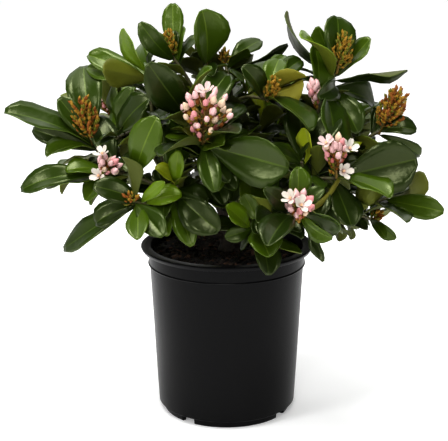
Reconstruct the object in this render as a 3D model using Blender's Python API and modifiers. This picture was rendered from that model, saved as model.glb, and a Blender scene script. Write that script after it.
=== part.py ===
"""Potted indian hawthorn: a young evergreen flowering shrub in a black nursery pot.

The pot's axis is the Z axis and its three feet stand on Z = 0; the side that is seen first
looks along -Y. Sizes are in metres; the table of shoots is in millimetres and degrees.
A bearing is measured about Z from the front (-Y), positive towards +X.
"""

import math
import random

import bmesh
import bpy
from mathutils import Vector
from mathutils.bvhtree import BVHTree

# Sizes of the pot
MM = 0.001
GAP = 0.3 * MM
POT_HEIGHT = 164.7 * MM
RIM_RADIUS = 82.5 * MM
RIM_THICK = 3.0 * MM
COLLAR_RADIUS = 74.9 * MM
COLLAR_FOOT = 146.4 * MM
BODY_TOP_RADIUS = 74.0 * MM
BODY_FOOT_RADIUS = 66.6 * MM
BODY_FOOT = 7.2 * MM
FOOT_RADIUS = 61.4 * MM
FOOT_WIDTH = 4.2 * MM
WALL = 1.7 * MM
HUB_RADIUS = 50.0 * MM
HUB_UNDER = 4.0 * MM
FLOOR_UNDER = 7.6 * MM
FLOOR_TOP = 9.4 * MM
NOTCH_TOP = 7.0 * MM
NOTCH_BEARINGS = (-48.5, 71.0, 191.0)
NOTCH_SPAN = 36.0
POT_STEPS = 32
MIX_TOP = 158.0 * MM

# Sizes of the woody frame
TRUNK_LINE = ((0, 0, 0), (0, 0, 5), (-1, 0, 14), (-3, 1, 30), (-4, 2, 47))
TRUNK_RADII = (9.0, 7.0, 5.8, 5.1, 4.7)
BOUGH_RADIUS = 3.1 * MM
SIDE_BOUGH_RADIUS = 2.5 * MM
BOUGH_TIP_RADIUS = 2.0 * MM
BOUGH_SHARE = 0.56
LIMB_SIDES = 6
LIMB_STEPS = 4

# Sizes of the twigs, leaves and blossom
TWIG_RADIUS = 2.1 * MM
TWIG_TIP_RADIUS = 1.5 * MM
TWIG_SIDES = 3
TWIG_STEPS = 4
LEAF_LENGTH = 60 * MM
LEAF_ASPECT = 0.50
LEAF_KEEL = 1.0 * MM
PETIOLE = 0.12
PETIOLE_RADIUS = 0.95 * MM
PETIOLE_KEEL = math.radians(40)
PLAIN_LEAF = (0.0, 0.40, 0.76, 1.0)
FINE_LEAF = (0.0, PETIOLE, 0.34, 0.61, 0.86, 1.0)
BLADE = (0.32, 0.40, 0.76, 1.0)
LEAF_FOLD = math.radians(3)
LEAF_CURL = math.radians(38)
LEAF_SPACING = 2.5 * MM
CLEAR = 0.8 * MM
GOLDEN = math.radians(137.508)
SMALL_HEAD = 21 * MM
PLUME_POINT = 0.45
PETAL_REACH = 9 * MM

# Rule of a whorl: where its leaves start, how they rise from tip to foot, how they vary
WHORL_START = 3 * MM
WHORL_BACK = 30 * MM
WHORL_RISE = (58, -14)
WHORL_WAVER = 8
WHORL_TWIST = 25
WHORL_APART = math.radians(34)

# The crown's reach: nothing grows past these
REACH_X = (-206 * MM, 209 * MM)
REACH_Y = (-174 * MM, 164 * MM)
REACH_Z = (156 * MM, 396 * MM)

# Each mass of leaves: the limb its bough leaves and how far along, then its shoots.
# A shoot is its tip, the number of leaves that fill up its whorl, its blossom, and the
# leaves that stand out of the whorl: bearing, rise, length, roll, then aspect and curl if named.
# Blossom is its kind, height, spread, lean towards +X in degrees and number of open flowers.
MASSES = {
    "top_left": ("trunk", 1.00, (
        ((-51, 0, 345), 4, ("buds", 28, 12, 6, 0),
         ((-178, 63, 54, 9, 0.39, 4), (-51, 44, 54, -158, 0.36, 82), (-96, 48, 36, -28, 0.50, 11),
          (160, 70, 36, 0), (120, 50, 35, 10))),
        ((-19, 20, 335), 4, ("buds", 28, 12, -12, 0),
         ((-4, 60, 64, -150, 0.60), (15, -5, 34, 10))),
    )),
    "upper_left": ("bough_left", 0.45, (
        ((-71, -10, 330), 3, None,
         ((-71, 62, 51, -168, 0.56, 16), (-47, 15, 56, 88, 0.48, 1), (-115, 18, 69, -15, 0.34, 20),
          (-115, 10, 68, -20, 0.36, 20))),
        ((-102, -30, 273), 3, None,
         ((50, 45, 58, 70), (45, 70, 50, 70), (-160, 55, 54, 120))),
    )),
    "top": ("bough_top_left", 0.35, (
        ((-1, 40, 330), 5, ("buds", 20, 12, 0, 0),
         ((120, 32, 46, 60, 0.44, 60), (45, 40, 36, 0), (96, 24, 64, -16, 0.28, -15))),
        ((38, -30, 309), 3, ("buds", 28, 14, 0, 0),
         ((155, 50, 44, -20), (154, 40, 55, 1, 0.31, 31), (136, 30, 61, 36, 0.30, 70),
          (71, 24, 43, -143, 0.56, 15), (-34, 47, 45, -92, 0.48, 79), (65, 26, 52, -40))),
    )),
    "top_right": ("bough_right", 0.40, (
        ((103, 10, 331), 3, ("buds", 42, 22, 6, 0),
         ((-135, 40, 80, 40, 0.38, -58), (-84, 70, 48, 31, 0.48, 12), (159, 81, 56, 19, 0.60, 75),
          (89, 48, 52, -145, 0.48, 11), (87, 9, 72, -31, 0.34, 8), (-16, -3, 56, -53, 0.36, 81),
          (39, -43, 56, 38, 0.51, 45), (120, -20, 58, 30))),
        ((82, -20, 303), 3, ("flowers", 32, 15, -10, 0), ()),
    )),
    "right": ("bough_low_right", 0.40, (
        ((143, -10, 276), 6, ("buds", 52, 30, 8, 0),
         ((68, 7, 37, 41, 0.55, 85), (106, -27, 52, 90, 0.26, 53))),
        ((120, 30, 270), 7, None, ()),
    )),
    "low_right": ("trunk", 0.30, (
        ((157, 20, 205), 5, None,
         ((120, 27, 48, 171, 0.65, 63), (60, -4, 62, 107, 0.39, 33))),
        ((143, 30, 180), 3, ("buds", 16, 12, 30, 0),
         ((18, -16, 38, 39, 0.29, 61), (82, -36, 34, -49, 0.49, 8))),
    )),
    "front_right": ("trunk", 0.62, (
        ((100, -80, 247), 4, ("flowers", 42, 40, -26, 2),
         ((94, 13, 73, -87, 0.66, 20), (-175, 55, 78, 30), (28, -48, 49, 0, 0.62, 15))),
        ((67, -70, 260), 2, None,
         ((-60, 25, 40, -40), (180, 48, 64, -14, 0.48, -8), (156, 86, 36, 117, 0.58, 72),
          (125, 45, 60, -20))),
    )),
    "low_front": ("trunk", 0.42, (
        ((66, -112, 224), 2, ("flowers", 30, 44, -14, 2),
         ((41, -21, 41, 96, 0.39, 70), (48, -55, 47, -86, 0.26, 41), (40, 0, 52, -60),
          (161, 80, 41, 40, 0.50, 12), (-47, 37, 47, -88, 0.40, 26))),
        ((21, -60, 194), 1, None,
         ((-51, 41, 40, -73, 0.52, 13), (-67, -11, 29, -81, 0.51, 43), (15, -20, 46, 0, 0.68, 10),
          (82, -31, 47, 175, 0.53, 62), (-129, 54, 32, 107, 0.62, 55), (21, 36, 22, 109, 0.44, 55))),
    )),
    "front": ("trunk", 0.78, (
        ((-21, -70, 278), 4, ("flowers", 54, 56, 8, 1),
         ((12, -33, 61, -9, 0.33, 36), (-55, 35, 26, -40), (130, 25, 44, -10), (140, 30, 60, 10),
          (72, -13, 91, -90, 0.54, 4))),
        ((-33, -40, 292), 3, None,
         ((-43, 48, 79, -138, 0.42, 16), (140, 40, 64, 10))),
    )),
    "front_left": ("bough_low_left", 0.45, (
        ((-85, -60, 245), 5, None,
         ((45, 62, 66, 110, 0.48),)),
        ((-44, -60, 235), 3, None,
         ((14, 72, 38, 141, 0.39, 34), (-48, 44, 31, -51, 0.51, 67), (50, -29, 63, 66, 0.49, 48),
          (28, -46, 60, -10, 0.36, 10))),
    )),
    "low_left": ("trunk", 0.48, (
        ((-85, -70, 223), 2, ("buds", 12, 16, 0, 0),
         ((38, -26, 50, 20, 0.48, 20), (-114, -34, 94, -36, 0.30, 13), (3, -23, 52, -17, 0.42, 15),
          (48, 39, 40, 90, 0.29, 39), (-88, -22, 46, -60, 0.56, 60), (82, 14, 40, 36, 0.58, 57),
          (-70, 24, 54, -40, 0.44, 40))),
    )),
    "left": ("trunk", 0.74, (
        ((-114, -40, 242), 3, ("flowers", 26, 28, 46, 1),
         ((-90, -11, 79, -25, 0.30, 60), (-80, -11, 57, -14, 0.50, 4), (-73, 7, 41, -18, 0.56, 53))),
        ((-125, -20, 267), 3, ("buds", 50, 32, 0, 0),
         ((-164, 56, 81, 21, 0.43, 51), (-92, 54, 56, -75, 0.38, 20), (-90, 19, 98, -20, 0.34, 34),
          (-78, -5, 49, -15, 0.52, 72), (-102, 16, 69, -87, 0.28, 55))),
    )),
    "centre": ("trunk", 0.90, (
        ((34, 26, 276), 8, None, ()),
        ((8, 10, 232), 6, None, ()),
        ((71, 10, 212), 6, None, ()),
        ((-31, 20, 234), 6, None, ()),
    )),
}

# The far side of the crown: limb, share, bearing, distance, height, shoots
FAR_MASSES = {
    "back_left": ("trunk", 0.60, -122, 132, 262, 3),
    "back": ("trunk", 0.72, 178, 118, 272, 3),
    "back_right": ("trunk", 0.52, 126, 138, 258, 3),
    "low_back_left": ("bough_back_left", 0.35, -152, 128, 206, 3),
    "low_back_right": ("bough_back_right", 0.35, 154, 132, 204, 3),
    "back_top": ("bough_back", 0.40, -170, 62, 312, 2),
}
FAR_LEAVES = 6
FAR_SPREAD = 24
FAR_STAGGER = 26

# Open shafts that run from front to back through the crown and let the sky show
SHAFTS = (
    (-28, 325, 5), (24, 303, 4), (46, 281, 4), (-135, 256, 6), (-76, 244, 6), (-98, 212, 8),
    (-36, 371, 5), (8, 360, 7), (139, 311, 8), (170, 297, 6),
)
SHAFT_SLOPE = math.tan(math.radians(14.25))
HEAD_VIEW = 0.6

PALETTE = {
    "black plastic": ((0.012, 0.012, 0.013), 0.38),
    "bark mix": ((0.026, 0.017, 0.012), 0.92),
    "bark": ((0.115, 0.080, 0.050), 0.80),
    "foliage": ((0.040, 0.085, 0.018), 0.42),
}


def clear_scene():
    """Start from nothing."""
    for obj in list(bpy.data.objects):
        bpy.data.objects.remove(obj, do_unlink=True)
    for group in list(bpy.data.collections):
        bpy.data.collections.remove(group)


def new_collection(name, hidden=False):
    """A collection in the scene; a hidden one holds only working shapes."""
    group = bpy.data.collections.new(name)
    bpy.context.scene.collection.children.link(group)
    group.hide_render = hidden
    return group


def material(name):
    """A plain surface with a colour, a roughness and no metal."""
    found = bpy.data.materials.get(name)
    if found:
        return found
    colour, roughness = PALETTE[name]
    made = bpy.data.materials.new(name)
    made.use_nodes = True
    shader = made.node_tree.nodes["Principled BSDF"]
    shader.inputs["Base Color"].default_value = (*colour, 1.0)
    shader.inputs["Roughness"].default_value = roughness
    shader.inputs["Metallic"].default_value = 0.0
    return made


def place(name, mesh, group, look):
    """Put a mesh into a collection under a plain name with its material."""
    mesh.materials.clear()
    mesh.materials.append(material(look))
    obj = bpy.data.objects.new(name, mesh)
    group.objects.link(obj)
    return obj


def smooth(mesh, angle_deg):
    """Shade a round piece smooth but keep its true corners."""
    mesh.polygons.foreach_set("use_smooth", [True] * len(mesh.polygons))
    mesh.set_sharp_from_angle(angle=math.radians(angle_deg))


def baked(obj):
    """The mesh of an object with all its modifiers worked in."""
    graph = bpy.context.evaluated_depsgraph_get()
    mesh = bpy.data.meshes.new_from_object(obj.evaluated_get(graph))
    mesh.transform(obj.matrix_world)
    return mesh


def settle(obj, mesh):
    """Swap in the baked mesh and drop the modifiers."""
    old = obj.data
    obj.modifiers.clear()
    obj.data = mesh
    bpy.data.meshes.remove(old)


def turned(name, profile, group, look):
    """Turn an outline of radius and height about the pot's axis."""
    mesh = bpy.data.meshes.new(name)
    edges = [(i, i + 1) for i in range(len(profile) - 1)]
    mesh.from_pydata([(r, 0.0, z) for r, z in profile], edges, [])
    obj = place(name, mesh, group, look)
    screw = obj.modifiers.new("turn", "SCREW")
    screw.axis = "Z"
    screw.steps = POT_STEPS
    screw.render_steps = POT_STEPS
    screw.angle = math.tau
    screw.use_merge_vertices = True
    screw.merge_threshold = 0.00005
    settle(obj, baked(obj))
    return obj


# Pot
def wall_radius(z):
    """Outer radius of the tapering body at a height."""
    share = (z - BODY_FOOT) / (COLLAR_FOOT - BODY_FOOT)
    return BODY_FOOT_RADIUS + (BODY_TOP_RADIUS - BODY_FOOT_RADIUS) * share


def make_pot(group, cutters):
    """Thin tapered pot: rolled rim, collar, tapering body, rounded foot with three notches."""
    rim_under = POT_HEIGHT - RIM_THICK
    round_off = 1.1 * MM
    inner_top = COLLAR_RADIUS - WALL
    collar_in = COLLAR_FOOT - 1.5 * MM
    ring_in = FOOT_RADIUS - FOOT_WIDTH
    profile = [
        (0.0, FLOOR_TOP),
        (wall_radius(FLOOR_TOP) - WALL, FLOOR_TOP),
        (wall_radius(collar_in) - WALL, collar_in),
        (inner_top, COLLAR_FOOT),
        (inner_top, POT_HEIGHT - round_off),
        (inner_top + round_off, POT_HEIGHT),
        (RIM_RADIUS - round_off, POT_HEIGHT),
        (RIM_RADIUS, POT_HEIGHT - round_off),
        (RIM_RADIUS, rim_under + 0.4 * MM),
        (RIM_RADIUS - 0.6 * MM, rim_under),
        (COLLAR_RADIUS + 0.8 * MM, rim_under),
        (COLLAR_RADIUS, rim_under - 1.2 * MM),
        (COLLAR_RADIUS, COLLAR_FOOT),
        (BODY_TOP_RADIUS, COLLAR_FOOT - 0.6 * MM),
        (BODY_FOOT_RADIUS, BODY_FOOT),
        (FOOT_RADIUS + 4.2 * MM, BODY_FOOT - 2.6 * MM),
        (FOOT_RADIUS + 2.4 * MM, BODY_FOOT - 5.2 * MM),
        (FOOT_RADIUS, 0.0),
        (ring_in, 0.0),
        (ring_in - 0.4 * MM, HUB_UNDER),
        (HUB_RADIUS, HUB_UNDER),
        (HUB_RADIUS - 0.4 * MM, FLOOR_UNDER),
        (0.0, FLOOR_UNDER),
    ]
    pot = turned("pot", profile, group, "black plastic")
    for number, bearing in enumerate(NOTCH_BEARINGS):
        bm = bmesh.new()
        bmesh.ops.create_cube(bm, size=1.0)
        middle = math.radians(bearing)
        half = math.radians(NOTCH_SPAN / 2)
        for vert in bm.verts:
            reach = 84 * MM if vert.co.x > 0 else ring_in - 1.0 * MM
            turn = middle + (half if vert.co.y > 0 else -half)
            height = NOTCH_TOP if vert.co.z > 0 else -5 * MM
            vert.co = (reach * math.sin(turn), -reach * math.cos(turn), height)
        bmesh.ops.recalc_face_normals(bm, faces=bm.faces)
        mesh = bpy.data.meshes.new("notch")
        bm.to_mesh(mesh)
        bm.free()
        cutter = place("notch_%d" % number, mesh, cutters, "black plastic")
        cutter.display_type = "WIRE"
        cutter.hide_render = True
        cut = pot.modifiers.new("notch", "BOOLEAN")
        cut.operation = "DIFFERENCE"
        cut.solver = "EXACT"
        cut.object = cutter
        settle(pot, baked(pot))
    smooth(pot.data, 32)
    return pot


def make_mix(group):
    """The bark mix that fills the pot to just under its rim, a little higher at the wall."""
    bottom = FLOOR_TOP + GAP
    collar_in = COLLAR_FOOT - 1.5 * MM
    inner = wall_radius(FLOOR_TOP) - WALL - GAP
    profile = [
        (0.0, MIX_TOP),
        (40 * MM, MIX_TOP),
        (COLLAR_RADIUS - WALL - GAP - 4 * MM, MIX_TOP + 1.2 * MM),
        (COLLAR_RADIUS - WALL - GAP, MIX_TOP - 0.6 * MM),
        (COLLAR_RADIUS - WALL - GAP, COLLAR_FOOT),
        (wall_radius(collar_in) - WALL - GAP, collar_in),
        (inner, bottom),
        (0.0, bottom),
    ]
    mix = turned("potting_mix", profile, group, "bark mix")
    smooth(mix.data, 40)
    return mix


# Limbs
def bent_line(start, pull, end, steps):
    """Points along a limb that leaves towards one point and arrives at another."""
    line = []
    for i in range(steps + 1):
        t = i / steps
        line.append(start * (1 - t) ** 2 + pull * (2 * t * (1 - t)) + end * t * t)
    return line


def tapered(first, last, count):
    """Radii that shrink evenly from one end of a limb to the other."""
    return [first + (last - first) * i / (count - 1) for i in range(count)]


def along(line, share):
    """The point at a share of a limb's points, and the way it runs there."""
    at = min(max(share, 0.0), 1.0) * (len(line) - 1)
    low = min(int(at), len(line) - 2)
    way = line[low + 1] - line[low]
    return line[low] + way * (at - low), way.normalized()


def three_sided_section():
    """The outline of a slender twig, one unit in radius."""
    outline = bpy.data.curves.new("section", "CURVE")
    outline.dimensions = "2D"
    ring = outline.splines.new("POLY")
    ring.points.add(2)
    ring.use_cyclic_u = True
    for k, knot in enumerate(ring.points):
        turn = math.tau * k / 3
        knot.co = (math.cos(turn), math.sin(turn), 0.0, 1.0)
    section = bpy.data.objects.new("section", outline)
    bpy.context.scene.collection.objects.link(section)
    return section


def limb_mesh(line, radii, sides):
    """A round limb with a flat cap at both ends, from a curve with a bevel."""
    curve = bpy.data.curves.new("limb", "CURVE")
    curve.dimensions = "3D"
    section = None
    if sides == 3:
        section = three_sided_section()
        curve.bevel_mode = "OBJECT"
        curve.bevel_object = section
    else:
        curve.bevel_depth = 1.0
        curve.bevel_resolution = (sides - 4) // 2
    curve.use_fill_caps = True
    spline = curve.splines.new("POLY")
    spline.points.add(len(line) - 1)
    for knot, point, radius in zip(spline.points, line, radii):
        knot.co = (*point, 1.0)
        knot.radius = radius
    holder = bpy.data.objects.new("limb", curve)
    bpy.context.scene.collection.objects.link(holder)
    bpy.context.view_layer.update()
    mesh = baked(holder)
    bpy.data.objects.remove(holder)
    bpy.data.curves.remove(curve)
    if section:
        outline = section.data
        bpy.data.objects.remove(section)
        bpy.data.curves.remove(outline)
    bm = bmesh.new()
    bm.from_mesh(mesh)
    bmesh.ops.remove_doubles(bm, verts=bm.verts, dist=1e-6)
    bmesh.ops.recalc_face_normals(bm, faces=bm.faces)
    bm.to_mesh(mesh)
    bm.free()
    return mesh


# Leaves
def half_width(share):
    """Half width of the leaf blade along its length: narrow foot, widest past the middle."""
    blade = max(0.0, (share - PETIOLE + 0.02) / (1.02 - PETIOLE))
    return math.sin(math.pi * min(1.0, blade ** 1.2)) ** 0.72


def leaf_frame(base, bearing, rise, roll):
    """The way a leaf points and the way its upper face looks, turned to the light."""
    level = Vector((math.sin(bearing), -math.cos(bearing), 0.0))
    up = Vector((0.0, 0.0, 1.0))
    way = level * math.cos(rise) + up * math.sin(rise)
    inner = up * math.cos(rise) - level * math.sin(rise)
    outward = Vector((base.x, base.y, 0.0))
    if outward.length > MM:
        outward.normalize()
    face = inner * 0.7 + (up * 0.8 + outward * 0.6) * 0.8
    face = (face - way * face.dot(way)).normalized()
    side = way.cross(face)
    face = face * math.cos(roll) + side * math.sin(roll)
    return way, face


def leaf_shape(leaf, stations, grow=0.0):
    """Three-cornered rings along a recurved leaf, flat above and keeled below, to a point."""
    base, way, face, length, aspect, fold, curl = leaf
    side = way.cross(face)
    points = []
    for share in stations:
        angle = curl * (0.5 - share)
        ahead = length * (math.sin(curl / 2) - math.sin(angle)) / (2 * math.sin(curl / 2))
        lift = length * (math.cos(angle) - math.cos(curl / 2)) / (2 * math.sin(curl / 2))
        middle = base + way * ahead + face * lift
        over = face * math.cos(angle) - way * math.sin(angle)
        if share == 1.0:
            points.append(middle + way * grow)
            continue
        if share <= PETIOLE:
            wide, thick, lean = PETIOLE_RADIUS, PETIOLE_RADIUS, PETIOLE_KEEL
        else:
            wide = length * aspect / 2 * half_width(share)
            thick, lean = LEAF_KEEL, fold
        wide, thick = wide + grow, thick + grow
        edge_up = over * (wide * math.sin(lean) + grow)
        edge_out = side * (wide * math.cos(lean))
        points.append(middle - edge_out + edge_up)
        points.append(middle + edge_out + edge_up)
        points.append(middle - over * thick)
    rings = len(stations) - 1
    faces = [(0, 1, 2)]
    for ring in range(rings - 1):
        for k in range(3):
            a, b = ring * 3 + k, ring * 3 + (k + 1) % 3
            faces.append((a, a + 3, b + 3))
            faces.append((a, b + 3, b))
    last = (rings - 1) * 3
    faces += [(last + k, last + 3, last + (k + 1) % 3) for k in range(3)]
    return points, faces


# Blossom
def bud_head(foot, way, height, spread, plume, draw):
    """A cluster as one spiky head, drawn in to its stalk below: a dome, or a pointed plume."""
    bm = bmesh.new()
    level = 1 if spread < SMALL_HEAD else 2
    bmesh.ops.create_icosphere(bm, subdivisions=level, radius=1.0)
    side = way.orthogonal().normalized()
    other = way.cross(side)
    for vert in bm.verts:
        spike = level == 1 or len(vert.link_edges) == 5
        push = draw.uniform(0.88, 1.0) if spike else draw.uniform(0.50, 0.62)
        tall = vert.co.z * push
        narrow = 0.30 + 0.70 * min(1.0, (tall + 1.0) / 1.2)
        if plume and tall > 0:
            narrow *= 1 - PLUME_POINT * tall
        out = (side * vert.co.x + other * vert.co.y) * (push * narrow * spread / 2)
        vert.co = foot + out + way * (height * (0.5 + tall / 2))
    points = [v.co.copy() for v in bm.verts]
    faces = [tuple(v.index for v in f.verts) for f in bm.faces]
    bm.free()
    return points, faces


def star(root, tip, radius):
    """An open flower: five petals spread from a narrow funnel."""
    way = (tip - root).normalized()
    side = way.orthogonal().normalized()
    other = way.cross(side)
    points = [root]
    for k in range(10):
        turn = math.tau * k / 10
        wide = radius if k % 2 == 0 else radius * 0.5
        points.append(tip + (side * math.cos(turn) + other * math.sin(turn)) * wide)
    points.append(tip - way * (1.6 * MM))
    faces = []
    for k in range(10):
        a, b = 1 + k, 1 + (k + 1) % 10
        faces.append((0, b, a))
        faces.append((11, a, b))
    return points, faces


def head_way(line, lean):
    """The way a head of blossom points: upwards, a little after its twig, with its own lean."""
    way = (line[-1] - line[-2]).normalized() + Vector((0.0, 0.0, 2.0))
    way.x += 2.0 * math.tan(math.radians(lean))
    return way.normalized()


def blossom_pieces(tip, way, blossom, draw):
    """A head of buds round the end of a shoot and the open flowers that stand out of it."""
    kind, height, spread, _, flowers = blossom
    height, spread = height * MM, spread * MM
    foot = tip - way * (2.5 * MM)
    pieces = [bud_head(foot, way, height, spread, kind == "buds", draw)]
    heart = foot + way * height * 0.55
    front = Vector((0.0, -1.0, 0.35)).normalized()
    side = way.orthogonal().normalized()
    turn = draw.uniform(0, math.tau)
    for _ in range(flowers):
        turn += GOLDEN
        aim = front + (side * math.cos(turn) + way.cross(side) * math.sin(turn)) * 0.55
        aim.normalize()
        pieces.append(star(heart, heart + aim * (spread / 2 + 2 * MM), PETAL_REACH))
    return pieces


# Growth
class Thicket:
    """What has grown so far, so that a new piece can be tried against it."""

    def __init__(self):
        self.pieces = []

    def add(self, owner, shape, guard=None, blade=None):
        """Keep a piece, the wider form that nothing may touch, and a leaf's blade."""
        trees = [BVHTree.FromPolygons(*form) if form else None for form in (shape, guard, blade)]
        middle, reach = ball(shape[0])
        self.pieces.append((owner, middle, reach, trees))

    def hits(self, owner, shape, guard, blade=None):
        """Whether a piece comes too near another mass, or its blade cuts one of its own."""
        body, wide, flat = (
            BVHTree.FromPolygons(*form) if form else None for form in (shape, guard, blade))
        middle, reach = ball(guard[0])
        for other, centre, far, (its_body, its_wide, its_flat) in self.pieces:
            if (centre - middle).length > reach + far:
                continue
            if other != owner:
                if wide.overlap(its_body) or (its_wide and body.overlap(its_wide)):
                    return True
            elif flat and its_flat and flat.overlap(its_flat):
                return True
        return False


def ball(points):
    """Middle and radius of a ball round some points."""
    middle = sum(points, Vector()) / len(points)
    return middle, max((p - middle).length for p in points)


def swollen(shape):
    """A piece with its points pushed away from its middle by the clearance."""
    points, faces = shape
    middle = ball(points)[0]
    return [p + (p - middle).normalized() * CLEAR for p in points], faces


def mesh_parts(mesh):
    """Points and faces of a mesh, for trying things against it."""
    return [v.co.copy() for v in mesh.vertices], [tuple(p.vertices) for p in mesh.polygons]


def within(points, low_ok):
    """Whether all points keep to the crown's reach."""
    for p in points:
        if not REACH_X[0] < p.x < REACH_X[1] or not REACH_Y[0] < p.y < REACH_Y[1]:
            return False
        if not REACH_Z[0] < p.z < REACH_Z[1]:
            return False
        if math.hypot(p.x, p.y) < RIM_RADIUS + 2 * MM and p.z < POT_HEIGHT + low_ok:
            return False
    return True


def in_shaft(points, heads):
    """Whether a leaf would close one of the crown's open shafts, or stand before a head."""
    for x, z, radius in SHAFTS:
        for p in points:
            if math.hypot(p.x - x * MM, p.z - z * MM + p.y * SHAFT_SLOPE) < radius * MM:
                return True
    for middle, reach in heads:
        for p in points:
            rise = (middle.y - p.y) * SHAFT_SLOPE
            if p.y < middle.y and math.hypot(p.x - middle.x, p.z - middle.z - rise) < reach * HEAD_VIEW:
                return True
    return False


def far_shoots(name, bearing, distance, height, count):
    """Shoots of the far side, spread evenly about one bearing at staggered heights."""
    draw = random.Random("far " + name)
    shoots = []
    for i in range(count):
        turn = math.radians(bearing + FAR_SPREAD * (i - (count - 1) / 2))
        reach = distance + draw.uniform(-8, 8)
        level = height + FAR_STAGGER * (0.5 if i % 2 else -0.5) + draw.uniform(-6, 6)
        tip = (reach * math.sin(turn), -reach * math.cos(turn), level)
        blossom = ("flowers", 30, 20, 0, 0) if i == 1 else None
        shoots.append((tip, FAR_LEAVES, blossom, ()))
    return tuple(shoots)


def all_masses():
    """Every mass as its parent limb, its share along it, and its shoots."""
    masses = dict(MASSES)
    for name, (parent, share, bearing, distance, height, count) in FAR_MASSES.items():
        masses[name] = (parent, share, far_shoots(name, bearing, distance, height, count))
    return masses


def trunk_line():
    """The trunk from its flat foot on the mix to its top."""
    foot = MIX_TOP + GAP
    return [Vector((x * MM, y * MM, foot + z * MM)) for x, y, z in TRUNK_LINE]


def grow_limbs(masses):
    """Lines and radii of the trunk and of one bough for each mass."""
    limbs = {"trunk": (trunk_line(), [r * MM for r in TRUNK_RADII])}
    waiting = list(masses)
    while waiting:
        name = waiting.pop(0)
        parent, share, shoots = masses[name]
        if parent not in limbs:
            waiting.append(name)
            continue
        line, radii = limbs[parent]
        start, _ = along(line, share)
        heart = sum((Vector(s[0]) * MM for s in shoots), Vector()) / len(shoots)
        from_trunk = parent == "trunk"
        reach = BOUGH_SHARE if from_trunk else BOUGH_SHARE - 0.10
        span = heart - start
        end = start + span * reach
        pull = start + Vector((span.x * 0.62, span.y * 0.62, span.z * 0.34)) * reach
        first = BOUGH_RADIUS if from_trunk else SIDE_BOUGH_RADIUS
        bough = bent_line(start, pull, end, LIMB_STEPS)
        limbs["bough_" + name] = (bough, tapered(first, BOUGH_TIP_RADIUS, LIMB_STEPS + 1))
    return limbs


def grow_twigs(name, shoots, bough):
    """One stem from the bough's tip, and the twigs that leave it, one to each shoot."""
    end = bough[-1]
    way = (bough[-1] - bough[-2]).normalized()
    start = end + way * GAP
    twigs = []
    stem = None
    for number, shoot in enumerate(shoots):
        tip = Vector(shoot[0]) * MM
        if number == 0:
            root, lead = start, way
            first = TWIG_RADIUS
        else:
            root, lead = along(stem, min(0.75, 0.22 + 0.22 * number))
            first = TWIG_RADIUS * 0.85
        span = (tip - root).length
        pull = root + lead * span * 0.45
        line = bent_line(root, pull, tip, TWIG_STEPS)
        if number == 0:
            # The first step is straight, so that the stem's foot is square to the bough's tip
            line.insert(1, root + way * 2 * MM)
            stem = line
        twigs.append((line, tapered(first, TWIG_TIP_RADIUS, len(line))))
    return twigs


def leaf_at(line, back):
    """The point that lies a distance back from a twig's tip."""
    for far, near in zip(line[-2::-1], line[:0:-1]):
        span = (near - far).length
        if back <= span:
            return near + (far - near) * (back / span)
        back -= span
    return line[0]


def show_leaf(line, index, entry, draw):
    """A leaf that stands out: its bearing, rise, length, roll and aspect are named."""
    bearing, rise, length, roll = entry[:4]
    aspect = entry[4] if len(entry) > 4 else LEAF_ASPECT + draw.uniform(-0.02, 0.04)
    base = leaf_at(line, LEAF_SPACING * (index + 1))
    way, face = leaf_frame(base, *(math.radians(a) for a in (bearing, rise, roll)))
    fold = LEAF_FOLD * draw.uniform(0.6, 1.3)
    curl = LEAF_CURL * draw.uniform(0.5, 1.5)
    if len(entry) > 5:
        curl = math.radians(entry[5])
    return (base, way, face, length * MM, aspect, fold, curl)


def fill_leaf(line, index, count, draw):
    """A leaf of the whorl by rule: steep and small at the tip, level and larger below."""
    share = index / max(1, count - 1)
    base = leaf_at(line, WHORL_START + WHORL_BACK * share ** 1.3)
    axis = (line[-1] - line[-2]).normalized() + Vector((0.0, 0.0, 0.7))
    axis.normalize()
    side = axis.orthogonal().normalized()
    other = axis.cross(side)
    turn = index * GOLDEN + draw.uniform(-0.25, 0.25)
    high, low = WHORL_RISE
    rise = math.radians(high + (low - high) * share + draw.uniform(-WHORL_WAVER, WHORL_WAVER))
    way = (side * math.cos(turn) + other * math.sin(turn)) * math.cos(rise)
    way = (way + axis * math.sin(rise)).normalized()
    size = 0.66 + 0.40 * math.sin(math.pi * (0.15 + 0.75 * share))
    length = LEAF_LENGTH * size * draw.uniform(0.86, 1.12)
    bearing = math.atan2(way.x, -way.y)
    lift = math.asin(max(-1.0, min(1.0, way.z)))
    roll = math.radians(draw.uniform(-WHORL_TWIST, WHORL_TWIST))
    way, face = leaf_frame(base, bearing, lift, roll)
    fold = LEAF_FOLD * draw.uniform(0.6, 1.3)
    curl = LEAF_CURL * draw.uniform(0.5, 1.6)
    return (base, way, face, length, LEAF_ASPECT + draw.uniform(-0.05, 0.03), fold, curl)


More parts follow.
